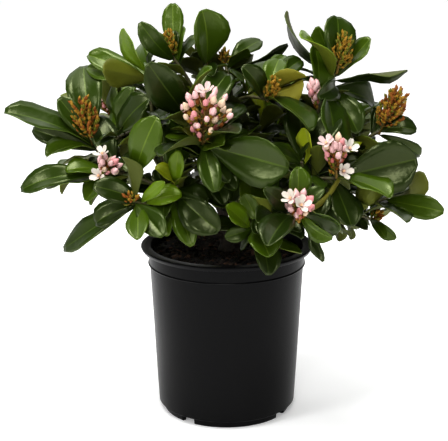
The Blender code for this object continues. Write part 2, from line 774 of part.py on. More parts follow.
def grow_crown(masses, limbs, thicket):
    """Twigs, blossom and leaves of every mass, each tried against what already stands."""
    crown = {name: {"twigs": [], "blossom": [], "leaves": []} for name in masses}
    shoots, heads = [], []
    for name, (_, _, rows) in masses.items():
        for number, (line, radii) in enumerate(grow_twigs(name, rows, limbs["bough_" + name][0])):
            mesh = limb_mesh(line, radii, TWIG_SIDES)
            shape = mesh_parts(mesh)
            if number and thicket.hits(name, shape, swollen(shape)):
                print("twig left out:", name, number)
                continue
            crown[name]["twigs"].append(mesh)
            thicket.add(name, shape)
            shoots.append((name, number, line, rows[number]))
    for name, number, line, row in shoots:
        if row[2]:
            draw = random.Random("blossom %s %d" % (name, number))
            way = head_way(line, row[2][3])
            for shape in blossom_pieces(line[-1], way, row[2], draw):
                if thicket.hits(name, shape, swollen(shape)):
                    print("blossom left out:", name, number)
                    continue
                crown[name]["blossom"].append(shape)
                if name in MASSES:
                    heads.append(ball(shape[0]))
                thicket.add(name, shape, swollen(shape))
    kept = {}
    for name, number, line, row in shoots:
        draw = random.Random("show %s %d" % (name, number))
        kept[name, number] = []
        for index, entry in enumerate(row[3]):
            leaf = show_leaf(line, index, entry, draw)
            for scale, nudge in ((1, 0), (1, 6), (1, -6), (0.93, 0), (0.93, 9), (0.93, -9), (0.86, 0)):
                changed = (entry[0] + nudge, entry[1] + abs(nudge) / 2, entry[2] * scale, *entry[3:])
                tried = show_leaf(line, index, changed, random.Random(index))
                tried = (*tried[:4], leaf[4], leaf[5], leaf[6])
                shape = leaf_shape(tried, FINE_LEAF)
                guard = leaf_shape(tried, FINE_LEAF, CLEAR)
                if within(guard[0], -4 * MM) and not thicket.hits(name, shape, guard):
                    break
            else:
                print("show leaf left out:", name, number, index)
                continue
            crown[name]["leaves"].append((tried, FINE_LEAF))
            kept[name, number].append(tried)
            thicket.add(name, shape, guard, leaf_shape(tried, BLADE))
    most = max(row[1] for _, _, _, row in shoots) * 2 + 4
    draws = {(name, number): random.Random("fill %s %d" % (name, number))
             for name, number, _, _ in shoots}
    fills = dict.fromkeys(draws, 0)
    for index in range(most):
        for name, number, line, row in shoots:
            key = (name, number)
            tries = row[1] * 2 + 4
            if index >= tries:
                continue
            leaf = fill_leaf(line, index, tries, draws[key])
            if fills[key] >= row[1]:
                continue
            if any(leaf[1].angle(other[1]) < WHORL_APART for other in kept[key]):
                continue
            shape = leaf_shape(leaf, PLAIN_LEAF)
            guard = leaf_shape(leaf, PLAIN_LEAF, CLEAR)
            blade = leaf_shape(leaf, BLADE, CLEAR / 2)
            if not within(guard[0], 6 * MM) or in_shaft(leaf_shape(leaf, FINE_LEAF)[0], heads):
                continue
            if thicket.hits(name, shape, guard, blade):
                continue
            crown[name]["leaves"].append((leaf, PLAIN_LEAF))
            kept[key].append(leaf)
            fills[key] += 1
            thicket.add(name, shape, guard, leaf_shape(leaf, BLADE))
    return crown


# Solids
def solid_from(points, faces, name):
    """A closed mesh from points and faces, with its faces looking outwards."""
    mesh = bpy.data.meshes.new(name)
    mesh.from_pydata(points, [], faces)
    bm = bmesh.new()
    bm.from_mesh(mesh)
    bmesh.ops.recalc_face_normals(bm, faces=bm.faces)
    bm.to_mesh(mesh)
    bm.free()
    return mesh


def islands(bm):
    """The separate shells of a mesh as lists of faces."""
    left = set(bm.faces)
    found = []
    while left:
        stack = [left.pop()]
        shell = list(stack)
        while stack:
            for edge in stack.pop().edges:
                for face in edge.link_faces:
                    if face in left:
                        left.discard(face)
                        shell.append(face)
                        stack.append(face)
        found.append(shell)
    return found


def shell_volume(faces):
    """Signed volume inside a shell: a hollow counts below nothing."""
    total = 0.0
    for face in faces:
        corners = [v.co for v in face.verts]
        for k in range(1, len(corners) - 1):
            total += corners[0].dot(corners[k].cross(corners[k + 1])) / 6
    return total


def keep_main(mesh):
    """Fill sealed hollows and drop loose scraps: only the largest shell stays."""
    bm = bmesh.new()
    bm.from_mesh(mesh)
    shells = sorted(islands(bm), key=shell_volume)
    scrap = {face for shell in shells[:-1] for face in shell}
    if scrap:
        bmesh.ops.delete(bm, geom=list(scrap), context="FACES")
    bm.to_mesh(mesh)
    bm.free()
    return len(shells) - 1


def make_limbs(limbs, masses, group, cutters):
    """Trunk and boughs; each bough is cut back to stand clear of the limb it leaves."""
    for name, (line, radii) in limbs.items():
        mesh = limb_mesh(line, radii, LIMB_SIDES)
        limb = place(name, mesh, group, "bark")
        if name != "trunk":
            parent = masses[name[len("bough_"):]][0]
            p_line, p_radii = limbs[parent]
            grown = [r + GAP for r in p_radii]
            long_line = list(p_line)
            long_line[-1] = p_line[-1] + (p_line[-1] - p_line[-2]).normalized() * GAP
            long_line[0] = p_line[0] - (p_line[1] - p_line[0]).normalized() * GAP
            cutter = place("clear_" + name, limb_mesh(long_line, grown, LIMB_SIDES), cutters, "bark")
            cutter.display_type = "WIRE"
            cutter.hide_render = True
            cut = limb.modifiers.new("clear", "BOOLEAN")
            cut.operation = "DIFFERENCE"
            cut.solver = "EXACT"
            cut.object = cutter
            settle(limb, baked(limb))
            keep_main(limb.data)
        smooth(limb.data, 50)


def make_mass(name, parts, group):
    """Fuse the stem, twigs, blossom and leaves of one mass into one solid."""
    stem = place("foliage_" + name, parts["twigs"][0], group, "foliage")
    pile = new_collection("pile_" + name, hidden=True)
    for mesh in parts["twigs"][1:]:
        place("twig", mesh, pile, "foliage")
    for points, faces in parts["blossom"]:
        place("blossom", solid_from(points, faces, "blossom"), pile, "foliage")
    for leaf, stations in parts["leaves"]:
        place("leaf", solid_from(*leaf_shape(leaf, stations), "leaf"), pile, "foliage")
    join = stem.modifiers.new("join", "BOOLEAN")
    join.operation = "UNION"
    join.solver = "MANIFOLD"
    join.operand_type = "COLLECTION"
    join.collection = pile
    bpy.context.view_layer.update()
    settle(stem, baked(stem))
    for obj in list(pile.objects):
        bpy.data.objects.remove(obj, do_unlink=True)
    bpy.data.collections.remove(pile)
    scraps = keep_main(stem.data)
    print(name, len(parts["leaves"]), "leaves", len(stem.data.polygons), "faces", scraps, "scraps")
    return stem


def build():
    """The whole plant in its pot."""
    clear_scene()
    group = new_collection("potted_indian_hawthorn")
    cutters = new_collection("cutters", hidden=True)
    pot = make_pot(group, cutters)
    mix = make_mix(group)
    masses = all_masses()
    limbs = grow_limbs(masses)
    make_limbs(limbs, masses, group, cutters)
    thicket = Thicket()
    for obj in (pot, mix):
        thicket.add("pot", mesh_parts(obj.data))
    for name, (line, radii) in limbs.items():
        thicket.add(name, mesh_parts(limb_mesh(line, radii, LIMB_SIDES)))
    crown = grow_crown(masses, limbs, thicket)
    for name, parts in crown.items():
        make_mass(name, parts, group)


build()
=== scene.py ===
# %% [markdown]
# # A potted indian hawthorn
# This lesson dresses the plain solids of a young flowering shrub in its black nursery pot. The
# solids already have the right place and size, so every piece here is made in their frame:
# metres, Z up, the pot's axis on Z and the side first seen towards -Y. The crown is grown again
# by the same seeded rule as the solids, and then carried on to finer leaves, buds and petals.

# %% Load the solids
import math
import random

import bmesh
import bpy
import numpy as np
from mathutils import Matrix, Vector
from mathutils.bvhtree import BVHTree


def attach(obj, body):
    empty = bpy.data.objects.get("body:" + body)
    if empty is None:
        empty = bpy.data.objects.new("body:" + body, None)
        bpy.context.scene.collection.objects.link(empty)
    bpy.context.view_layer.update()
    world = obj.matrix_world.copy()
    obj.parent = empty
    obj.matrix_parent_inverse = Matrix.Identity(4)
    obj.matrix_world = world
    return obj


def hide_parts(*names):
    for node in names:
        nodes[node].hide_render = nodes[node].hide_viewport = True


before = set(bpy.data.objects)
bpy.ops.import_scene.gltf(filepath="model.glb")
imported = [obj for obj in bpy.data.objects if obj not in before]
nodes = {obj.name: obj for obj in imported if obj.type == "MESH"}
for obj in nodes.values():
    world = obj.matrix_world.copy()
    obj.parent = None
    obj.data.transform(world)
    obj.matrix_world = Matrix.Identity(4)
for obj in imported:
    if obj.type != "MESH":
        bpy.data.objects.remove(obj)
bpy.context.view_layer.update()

MM = 0.001

# %% [markdown]
# ## Working by hand in code
# Loading leaves every solid selected, and an operator acts on all that is selected. So each step
# starts from an empty selection, makes one object, and picks its points by their place.

# %% Helpers for modelling
def start_clean():
    """Leave edit mode and select nothing."""
    if bpy.context.object and bpy.context.object.mode != "OBJECT":
        bpy.ops.object.mode_set(mode="OBJECT")
    bpy.ops.object.select_all(action="DESELECT")


def pick(obj, wanted):
    """In edit mode, select just the points whose place passes the test."""
    bpy.ops.object.mode_set(mode="OBJECT")
    for part in (obj.data.polygons, obj.data.edges):
        part.foreach_set("select", [False] * len(part))
    obj.data.vertices.foreach_set("select", [bool(wanted(v.co)) for v in obj.data.vertices])
    bpy.ops.object.mode_set(mode="EDIT")
    bpy.ops.mesh.select_mode(type="VERT")


def only(obj):
    """Make one object the selected and active one."""
    start_clean()
    obj.select_set(True)
    bpy.context.view_layer.objects.active = obj
    return obj


def faces_out(obj):
    """Weld what touches and point every face outwards."""
    only(obj)
    bpy.ops.object.mode_set(mode="EDIT")
    bpy.ops.mesh.select_all(action="SELECT")
    bpy.ops.mesh.remove_doubles(threshold=0.00001)
    bpy.ops.mesh.normals_make_consistent(inside=False)
    bpy.ops.object.mode_set(mode="OBJECT")


# %% [markdown]
# ## Plain finishes
# Each finish starts as a Principled surface. What is the same all over is set on the shader's own
# sockets, and small relief comes from noise on Object coordinates through a Bump node.

# %% Helper for finishes
def finish(name, colour, roughness, coat=0.0):
    """A plain surface: colour, roughness and a clear coat."""
    made = bpy.data.materials.new(name)
    made.use_nodes = True
    shader = made.node_tree.nodes["Principled BSDF"]
    shader.inputs["Base Color"].default_value = (*colour, 1.0)
    shader.inputs["Roughness"].default_value = roughness
    shader.inputs["Coat Weight"].default_value = coat
    shader.inputs["Coat Roughness"].default_value = 0.18
    return made


def relief(look, scale, distance, detail=4.0):
    """Give a finish small bumps that follow the object."""
    tree = look.node_tree
    place = tree.nodes.new("ShaderNodeTexCoord")
    grain = tree.nodes.new("ShaderNodeTexNoise")
    grain.inputs["Scale"].default_value = scale
    grain.inputs["Detail"].default_value = detail
    bump = tree.nodes.new("ShaderNodeBump")
    bump.inputs["Distance"].default_value = distance
    tree.links.new(place.outputs["Object"], grain.inputs["Vector"])
    tree.links.new(grain.outputs["Fac"], bump.inputs["Height"])
    tree.links.new(bump.outputs["Normal"], tree.nodes["Principled BSDF"].inputs["Normal"])
    return grain


def mottle(look, grain, dark, light):
    """Let the grain of a finish also tint it from a dark to a light colour."""
    tree = look.node_tree
    ramp = tree.nodes.new("ShaderNodeValToRGB")
    ramp.color_ramp.elements[0].position = 0.35
    ramp.color_ramp.elements[0].color = (*dark, 1.0)
    ramp.color_ramp.elements[1].position = 0.68
    ramp.color_ramp.elements[1].color = (*light, 1.0)
    tree.links.new(grain.outputs["Fac"], ramp.inputs["Fac"])
    tree.links.new(ramp.outputs["Color"], tree.nodes["Principled BSDF"].inputs["Base Color"])


# %% [markdown]
# ## The pot
# A nursery pot is one thin moulded shell: a rolled rim, a collar step, a long tapering wall and a
# stepped foot with four narrow notches. By hand it is a circle whose edge is extruded and scaled up the
# outside, over the rim and down the inside, which keeps every ring true to its radius.

# %% Pot sizes and outline
POT_HEIGHT = 164.7 * MM
RIM_RADIUS = 82.5 * MM
COLLAR_RADIUS = 74.9 * MM
COLLAR_FOOT = 146.4 * MM
BODY_TOP_RADIUS = 74.0 * MM
BODY_FOOT_RADIUS = 66.6 * MM
BODY_FOOT = 7.8 * MM
FOOT_RADIUS = 62.2 * MM
FOOT_INNER = 57.2 * MM
WALL = 1.7 * MM
RIM_UNDER = POT_HEIGHT - 4.6 * MM
BEAD = 0.9 * MM
UNDERSIDE = 2.6 * MM
FLOOR_TOP = 8.4 * MM
MIX_TOP = 158.0 * MM
POT_SIDES = 120

pot_outline = [
    (FOOT_INNER - 0.6 * MM, UNDERSIDE),
    (FOOT_INNER, 0.0),
    (FOOT_RADIUS - 1.8 * MM, 0.0),
    (FOOT_RADIUS - 0.8 * MM, 0.5 * MM),
    (FOOT_RADIUS - 0.4 * MM, 1.4 * MM),
    (FOOT_RADIUS, BODY_FOOT - 2.6 * MM),
    (FOOT_RADIUS + 1.0 * MM, BODY_FOOT - 1.4 * MM),
    (BODY_FOOT_RADIUS - 0.7 * MM, BODY_FOOT - 0.3 * MM),
    (BODY_FOOT_RADIUS, BODY_FOOT + 0.3 * MM),
    (BODY_TOP_RADIUS, COLLAR_FOOT - 0.6 * MM),
    (COLLAR_RADIUS + BEAD * 0.5, COLLAR_FOOT - 0.2 * MM),
    (COLLAR_RADIUS + BEAD, COLLAR_FOOT + 0.5 * MM),
    (COLLAR_RADIUS + BEAD * 0.5, COLLAR_FOOT + 1.3 * MM),
    (COLLAR_RADIUS, COLLAR_FOOT + 1.7 * MM),
    (COLLAR_RADIUS, RIM_UNDER - 1.2 * MM),
    (COLLAR_RADIUS + 0.8 * MM, RIM_UNDER),
    (RIM_RADIUS - 2.6 * MM, RIM_UNDER),
    (RIM_RADIUS - 1.7 * MM, RIM_UNDER + 0.3 * MM),
    (RIM_RADIUS - 1.2 * MM, RIM_UNDER + 1.0 * MM),
    (RIM_RADIUS - 0.3 * MM, POT_HEIGHT - 2.0 * MM),
    (RIM_RADIUS, POT_HEIGHT - 1.3 * MM),
    (RIM_RADIUS - 0.2 * MM, POT_HEIGHT - 0.5 * MM),
    (RIM_RADIUS - 0.9 * MM, POT_HEIGHT),
    (COLLAR_RADIUS - WALL + 1.1 * MM, POT_HEIGHT),
    (COLLAR_RADIUS - WALL + 0.3 * MM, POT_HEIGHT - 0.4 * MM),
    (COLLAR_RADIUS - WALL, POT_HEIGHT - 1.1 * MM),
    (COLLAR_RADIUS - WALL, COLLAR_FOOT),
    (BODY_TOP_RADIUS - WALL, COLLAR_FOOT - 1.5 * MM),
    (BODY_FOOT_RADIUS - WALL, FLOOR_TOP),
]

# %% Pot modelled ring by ring
start_clean()
bpy.ops.mesh.primitive_circle_add(vertices=POT_SIDES, radius=pot_outline[0][0],
                                  location=(0, 0, pot_outline[0][1]))
pot = bpy.context.object
pot.name = "nursery_pot"
bpy.ops.object.transform_apply(location=True, rotation=False, scale=False)
bpy.ops.object.mode_set(mode="EDIT")
bpy.ops.mesh.select_all(action="SELECT")
for (before, low), (radius, height) in zip(pot_outline, pot_outline[1:]):
    bpy.ops.mesh.extrude_region_move(
        MESH_OT_extrude_region={},
        TRANSFORM_OT_translate={"value": (0, 0, height - low)})
    bpy.ops.transform.resize(value=(radius / before, radius / before, 1),
                             center_override=(0, 0, height))
bpy.ops.mesh.edge_face_add()
pick(pot, lambda p: abs(p.z - pot_outline[0][1]) < 1e-6 and math.hypot(p.x, p.y) < FOOT_INNER)
bpy.ops.mesh.edge_face_add()
faces_out(pot)

# %% Foot notches cut with blocks
NOTCH_BEARINGS = (-36.5, 57.0, 147.0, 236.0)
NOTCH_SPAN = math.radians(13.0)
NOTCH_TOP = 5.6 * MM
for bearing in NOTCH_BEARINGS:
    start_clean()
    bpy.ops.mesh.primitive_cube_add(size=1.0)
    block = bpy.context.object
    for point in block.data.vertices:
        out = point.co.x > 0
        turn = math.radians(bearing) + NOTCH_SPAN / 2 * (1 if point.co.y > 0 else -1)
        reach = (84 if out else 40) * MM
        point.co = (reach * math.sin(turn), -reach * math.cos(turn),
                    NOTCH_TOP if point.co.z > 0 else -5 * MM)
    faces_out(block)
    cut = only(pot).modifiers.new("notch", "BOOLEAN")
    cut.operation = "DIFFERENCE"
    cut.object = block
    bpy.ops.object.modifier_apply(modifier=cut.name)
    bpy.data.objects.remove(block)
bpy.ops.object.shade_smooth_by_angle(angle=math.radians(32))
print("pot faces", len(pot.data.polygons))

# %% Pot finish
pot_look = finish("black moulded plastic", (0.0016, 0.0016, 0.0018), 0.33)
pot_look.node_tree.nodes["Principled BSDF"].inputs["Specular IOR Level"].default_value = 0.09
relief(pot_look, 900.0, 0.00012)
pot.data.materials.append(pot_look)
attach(pot, "root")
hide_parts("pot")

# %% [markdown]
# ## The bark mix
# Potting mix is a bed of dark bark chips with a few paler ones; the chips are darkened past their own colour
# as painted shade under the crown. The bed is a disc with uneven rings, and one faceted chip is modelled and
# then copied over it, each copy turned its own way.

# %% Bed of mix
MIX_RADIUS = COLLAR_RADIUS - WALL - 0.3 * MM
start_clean()
bpy.ops.mesh.primitive_circle_add(vertices=72, radius=MIX_RADIUS, fill_type="TRIFAN",
                                  location=(0, 0, MIX_TOP - 3 * MM))
bed = bpy.context.object
bed.name = "bark_mix"
bpy.ops.object.transform_apply(location=True, rotation=False, scale=False)
bpy.ops.object.mode_set(mode="EDIT")
bpy.ops.mesh.select_all(action="SELECT")
bpy.ops.mesh.subdivide(number_cuts=9)
bpy.ops.object.mode_set(mode="OBJECT")
lumps = bpy.data.textures.new("lumps", "CLOUDS")
lumps.noise_scale = 9 * MM
swell = only(bed).modifiers.new("swell", "DISPLACE")
swell.texture = lumps
swell.texture_coords = "LOCAL"
swell.direction = "Z"
swell.strength = 5 * MM
bpy.ops.object.modifier_apply(modifier=swell.name)

# %% One chip, copied over the bed
start_clean()
bpy.ops.mesh.primitive_cube_add(size=1.0)
chip = bpy.context.object
bpy.ops.object.mode_set(mode="EDIT")
bpy.ops.mesh.bevel(offset=0.16, offset_pct=0, segments=1, affect="EDGES")
bpy.ops.object.mode_set(mode="OBJECT")
chip_points = np.array([v.co[:] for v in chip.data.vertices])
chip_faces = [tuple(p.vertices) for p in chip.data.polygons]
bpy.data.objects.remove(chip)

CHIPS = 900
draw = random.Random("chips")
points, faces, looks = [], [], []
for number in range(CHIPS):
    reach = MIX_RADIUS * math.sqrt(draw.random()) * 0.965
    turn = draw.uniform(0, math.tau)
    size = Vector((draw.uniform(3, 11), draw.uniform(2, 5), draw.uniform(1, 2.4))) * MM
    tilt = Matrix.Rotation(draw.uniform(0, math.tau), 3, "Z") @ Matrix.Rotation(
        draw.gauss(0, 0.35), 3, "X") @ Matrix.Rotation(draw.gauss(0, 0.3), 3, "Y")
    place = np.array([reach * math.cos(turn), reach * math.sin(turn),
                      MIX_TOP - draw.uniform(0.2, 2.2) * MM])
    first = len(points)
    points.extend((chip_points * np.array(size)) @ np.array(tilt).T + place)
    faces.extend(tuple(i + first for i in face) for face in chip_faces)
    looks.extend([draw.choice((0, 0, 0, 0, 1, 1, 1, 2))] * len(chip_faces))


def joined(name, points, faces, looks, finishes, smooth=False):
    """One mesh object from many copies, each face with its own finish."""
    mesh = bpy.data.meshes.new(name)
    mesh.from_pydata([tuple(p) for p in points], [], faces)
    for look in finishes:
        mesh.materials.append(look)
    mesh.polygons.foreach_set("material_index", looks)
    mesh.polygons.foreach_set("use_smooth", [smooth] * len(mesh.polygons))
    mesh.update()
    obj = bpy.data.objects.new(name, mesh)
    bpy.context.scene.collection.objects.link(obj)
    return obj


# Chip colours: the bark's own dark browns, darkened further as painted shade under the crown
chip_finishes_with_painted_shade = [
    finish("dark bark chip", (0.006, 0.004, 0.003), 0.85),
    finish("brown bark chip", (0.020, 0.010, 0.006), 0.85),
    finish("red brown bark chip", (0.085, 0.040, 0.022), 0.85),
]
for look in chip_finishes_with_painted_shade:
    relief(look, 400.0, 0.0006)
chips = joined("bark_chips", points, faces, looks, chip_finishes_with_painted_shade)
bed.data.materials.append(chip_finishes_with_painted_shade[0])
for piece in (bed, chips):
    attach(piece, "root")
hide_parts("potting_mix")
print("chips", CHIPS, "faces", len(faces))

# %% [markdown]
# ## How the shrub grows
# The woody frame is a short trunk with one bough for each mass of leaves. Each mass grows from one
# stem that carries on from its bough's tip, and its twigs go out to the shoots. A shoot ends in a
# whorl of leaves and often in blossom. The solids were grown by this rule with these seeds, so
# growing it again here puts every leaf back where its solid is. The table gives, for each mass,
# the limb its bough leaves and how far along, then its shoots: the tip in millimetres, how many
# leaves fill its whorl, its blossom, and the leaves that stand out of the whorl as bearing, rise,
# length, roll, and where it matters aspect and curl. A bearing is measured from the front.

# %% Sizes of growth
GAP = 0.3 * MM
LIMB_SIDES = 6
LIMB_STEPS = 4
TWIG_STEPS = 4
BOUGH_RADIUS = 3.1 * MM
SIDE_BOUGH_RADIUS = 2.5 * MM
BOUGH_TIP_RADIUS = 2.0 * MM
BOUGH_SHARE = 0.56
TWIG_RADIUS = 2.1 * MM
TWIG_TIP_RADIUS = 1.5 * MM
LEAF_LENGTH = 60 * MM
LEAF_ASPECT = 0.50
LEAF_KEEL = 1.0 * MM
PETIOLE = 0.12
PETIOLE_RADIUS = 0.95 * MM
PETIOLE_KEEL = math.radians(40)
PLAIN_LEAF = (0.0, 0.40, 0.76, 1.0)
FINE_LEAF = (0.0, PETIOLE, 0.34, 0.61, 0.86, 1.0)
BLADE = (0.32, 0.40, 0.76, 1.0)
LEAF_FOLD = math.radians(3)
LEAF_CURL = math.radians(38)
LEAF_SPACING = 2.5 * MM
CLEAR = 0.8 * MM
GOLDEN = math.radians(137.508)
SMALL_HEAD = 21 * MM
PLUME_POINT = 0.45
PETAL_REACH = 9 * MM
WHORL_START = 3 * MM
WHORL_BACK = 30 * MM
WHORL_RISE = (58, -14)
WHORL_WAVER = 8
WHORL_TWIST = 25
WHORL_APART = math.radians(34)
REACH_X = (-206 * MM, 209 * MM)
REACH_Y = (-174 * MM, 164 * MM)
REACH_Z = (156 * MM, 396 * MM)
TRUNK_LINE = ((0, 0, 0), (0, 0, 5), (-1, 0, 14), (-3, 1, 30), (-4, 2, 47))
TRUNK_RADII = (9.0, 7.0, 5.8, 5.1, 4.7)

# %% Table of shoots
MASSES = {
    "top_left": ("trunk", 1.00, (
        ((-51, 0, 345), 4, ("buds", 28, 12, 6, 0),
         ((-178, 63, 54, 9, 0.39, 4), (-51, 44, 54, -158, 0.36, 82), (-96, 48, 36, -28, 0.50, 11),
          (160, 70, 36, 0), (120, 50, 35, 10))),
        ((-19, 20, 335), 4, ("buds", 28, 12, -12, 0),
         ((-4, 60, 64, -150, 0.60), (15, -5, 34, 10))),
    )),
    "upper_left": ("bough_left", 0.45, (
        ((-71, -10, 330), 3, None,
         ((-71, 62, 51, -168, 0.56, 16), (-47, 15, 56, 88, 0.48, 1), (-115, 18, 69, -15, 0.34, 20),
          (-115, 10, 68, -20, 0.36, 20))),
        ((-102, -30, 273), 3, None,
         ((50, 45, 58, 70), (45, 70, 50, 70), (-160, 55, 54, 120))),
    )),
    "top": ("bough_top_left", 0.35, (
        ((-1, 40, 330), 5, ("buds", 20, 12, 0, 0),
         ((120, 32, 46, 60, 0.44, 60), (45, 40, 36, 0), (96, 24, 64, -16, 0.28, -15))),
        ((38, -30, 309), 3, ("buds", 28, 14, 0, 0),
         ((155, 50, 44, -20), (154, 40, 55, 1, 0.31, 31), (136, 30, 61, 36, 0.30, 70),
          (71, 24, 43, -143, 0.56, 15), (-34, 47, 45, -92, 0.48, 79), (65, 26, 52, -40))),
    )),
    "top_right": ("bough_right", 0.40, (
        ((103, 10, 331), 3, ("buds", 42, 22, 6, 0),
         ((-135, 40, 80, 40, 0.38, -58), (-84, 70, 48, 31, 0.48, 12), (159, 81, 56, 19, 0.60, 75),
          (89, 48, 52, -145, 0.48, 11), (87, 9, 72, -31, 0.34, 8), (-16, -3, 56, -53, 0.36, 81),
          (39, -43, 56, 38, 0.51, 45), (120, -20, 58, 30))),
        ((82, -20, 303), 3, ("flowers", 32, 15, -10, 0), ()),
    )),
    "right": ("bough_low_right", 0.40, (
        ((143, -10, 276), 6, ("buds", 52, 30, 8, 0),
         ((68, 7, 37, 41, 0.55, 85), (106, -27, 52, 90, 0.26, 53))),
        ((120, 30, 270), 7, None, ()),
    )),
    "low_right": ("trunk", 0.30, (
        ((157, 20, 205), 5, None,
         ((120, 27, 48, 171, 0.65, 63), (60, -4, 62, 107, 0.39, 33))),
        ((143, 30, 180), 3, ("buds", 16, 12, 30, 0),
         ((18, -16, 38, 39, 0.29, 61), (82, -36, 34, -49, 0.49, 8))),
    )),
    "front_right": ("trunk", 0.62, (
        ((100, -80, 247), 4, ("flowers", 42, 40, -26, 2),
         ((94, 13, 73, -87, 0.66, 20), (-175, 55, 78, 30), (28, -48, 49, 0, 0.62, 15))),
        ((67, -70, 260), 2, None,
         ((-60, 25, 40, -40), (180, 48, 64, -14, 0.48, -8), (156, 86, 36, 117, 0.58, 72),
          (125, 45, 60, -20))),
    )),
    "low_front": ("trunk", 0.42, (
        ((66, -112, 224), 2, ("flowers", 30, 44, -14, 2),
         ((41, -21, 41, 96, 0.39, 70), (48, -55, 47, -86, 0.26, 41), (40, 0, 52, -60),
          (161, 80, 41, 40, 0.50, 12), (-47, 37, 47, -88, 0.40, 26))),
        ((21, -60, 194), 1, None,
         ((-51, 41, 40, -73, 0.52, 13), (-67, -11, 29, -81, 0.51, 43), (15, -20, 46, 0, 0.68, 10),
          (82, -31, 47, 175, 0.53, 62), (-129, 54, 32, 107, 0.62, 55), (21, 36, 22, 109, 0.44, 55))),
    )),
    "front": ("trunk", 0.78, (
        ((-21, -70, 278), 4, ("flowers", 54, 56, 8, 1),
         ((12, -33, 61, -9, 0.33, 36), (-55, 35, 26, -40), (130, 25, 44, -10), (140, 30, 60, 10),
          (72, -13, 91, -90, 0.54, 4))),
        ((-33, -40, 292), 3, None,
         ((-43, 48, 79, -138, 0.42, 16), (140, 40, 64, 10))),
    )),
    "front_left": ("bough_low_left", 0.45, (
        ((-85, -60, 245), 5, None,
         ((45, 62, 66, 110, 0.48),)),
        ((-44, -60, 235), 3, None,
         ((14, 72, 38, 141, 0.39, 34), (-48, 44, 31, -51, 0.51, 67), (50, -29, 63, 66, 0.49, 48),
          (28, -46, 60, -10, 0.36, 10))),
    )),
    "low_left": ("trunk", 0.48, (
        ((-85, -70, 223), 2, ("buds", 12, 16, 0, 0),
         ((38, -26, 50, 20, 0.48, 20), (-114, -34, 94, -36, 0.30, 13), (3, -23, 52, -17, 0.42, 15),
          (48, 39, 40, 90, 0.29, 39), (-88, -22, 46, -60, 0.56, 60), (82, 14, 40, 36, 0.58, 57),
          (-70, 24, 54, -40, 0.44, 40))),
    )),
    "left": ("trunk", 0.74, (
        ((-114, -40, 242), 3, ("flowers", 26, 28, 46, 1),
         ((-90, -11, 79, -25, 0.30, 60), (-80, -11, 57, -14, 0.50, 4), (-73, 7, 41, -18, 0.56, 53))),
        ((-125, -20, 267), 3, ("buds", 50, 32, 0, 0),
         ((-164, 56, 81, 21, 0.43, 51), (-92, 54, 56, -75, 0.38, 20), (-90, 19, 98, -20, 0.34, 34),
          (-78, -5, 49, -15, 0.52, 72), (-102, 16, 69, -87, 0.28, 55))),
    )),
    "centre": ("trunk", 0.90, (
        ((34, 26, 276), 8, None, ()),
        ((8, 10, 232), 6, None, ()),
        ((71, 10, 212), 6, None, ()),
        ((-31, 20, 234), 6, None, ()),
    )),
}

# The far side of the crown: limb, share, bearing, distance, height, shoots
FAR_MASSES = {
    "back_left": ("trunk", 0.60, -122, 132, 262, 3),
    "back": ("trunk", 0.72, 178, 118, 272, 3),
    "back_right": ("trunk", 0.52, 126, 138, 258, 3),
    "low_back_left": ("bough_back_left", 0.35, -152, 128, 206, 3),
    "low_back_right": ("bough_back_right", 0.35, 154, 132, 204, 3),
    "back_top": ("bough_back", 0.40, -170, 62, 312, 2),
}
FAR_LEAVES = 6
FAR_SPREAD = 24
FAR_STAGGER = 26

# Open shafts that run from front to back through the crown and let the sky show
SHAFTS = (
    (-28, 325, 5), (24, 303, 4), (46, 281, 4), (-135, 256, 6), (-76, 244, 6), (-98, 212, 8),
    (-36, 371, 5), (8, 360, 7), (139, 311, 8), (170, 297, 6),
)
SHAFT_SLOPE = math.tan(math.radians(14.25))
HEAD_VIEW = 0.6

# %% [markdown]
# ## Lines of growth
# A limb leaves its parent towards one point and arrives at another, so it is a bent line. Its
# thickness shrinks evenly from foot to tip.

# %% Limbs and twigs as lines
def bent_line(start, pull, end, steps):
    """Points along a limb that leaves towards one point and arrives at another."""
    line = []
    for i in range(steps + 1):
        t = i / steps
        line.append(start * (1 - t) ** 2 + pull * (2 * t * (1 - t)) + end * t * t)
    return line


def tapered(first, last, count):
    """Radii that shrink evenly from one end of a limb to the other."""
    return [first + (last - first) * i / (count - 1) for i in range(count)]


def along(line, share):
    """The point at a share of a limb's points, and the way it runs there."""
    at = min(max(share, 0.0), 1.0) * (len(line) - 1)
    low = min(int(at), len(line) - 2)
    way = line[low + 1] - line[low]
    return line[low] + way * (at - low), way.normalized()


def far_shoots(name, bearing, distance, height, count):
    """Shoots of the far side, spread evenly about one bearing at staggered heights."""
    draw = random.Random("far " + name)
    shoots = []
    for i in range(count):
        turn = math.radians(bearing + FAR_SPREAD * (i - (count - 1) / 2))
        reach = distance + draw.uniform(-8, 8)
        level = height + FAR_STAGGER * (0.5 if i % 2 else -0.5) + draw.uniform(-6, 6)
        tip = (reach * math.sin(turn), -reach * math.cos(turn), level)
        blossom = ("flowers", 30, 20, 0, 0) if i == 1 else None
        shoots.append((tip, FAR_LEAVES, blossom, ()))
    return tuple(shoots)


def all_masses():
    """Every mass as its parent limb, its share along it, and its shoots."""
    masses = dict(MASSES)
    for name, (parent, share, bearing, distance, height, count) in FAR_MASSES.items():
        masses[name] = (parent, share, far_shoots(name, bearing, distance, height, count))
    return masses


def trunk_line():
    """The trunk from its flat foot on the mix to its top."""
    foot = MIX_TOP + GAP
    return [Vector((x * MM, y * MM, foot + z * MM)) for x, y, z in TRUNK_LINE]


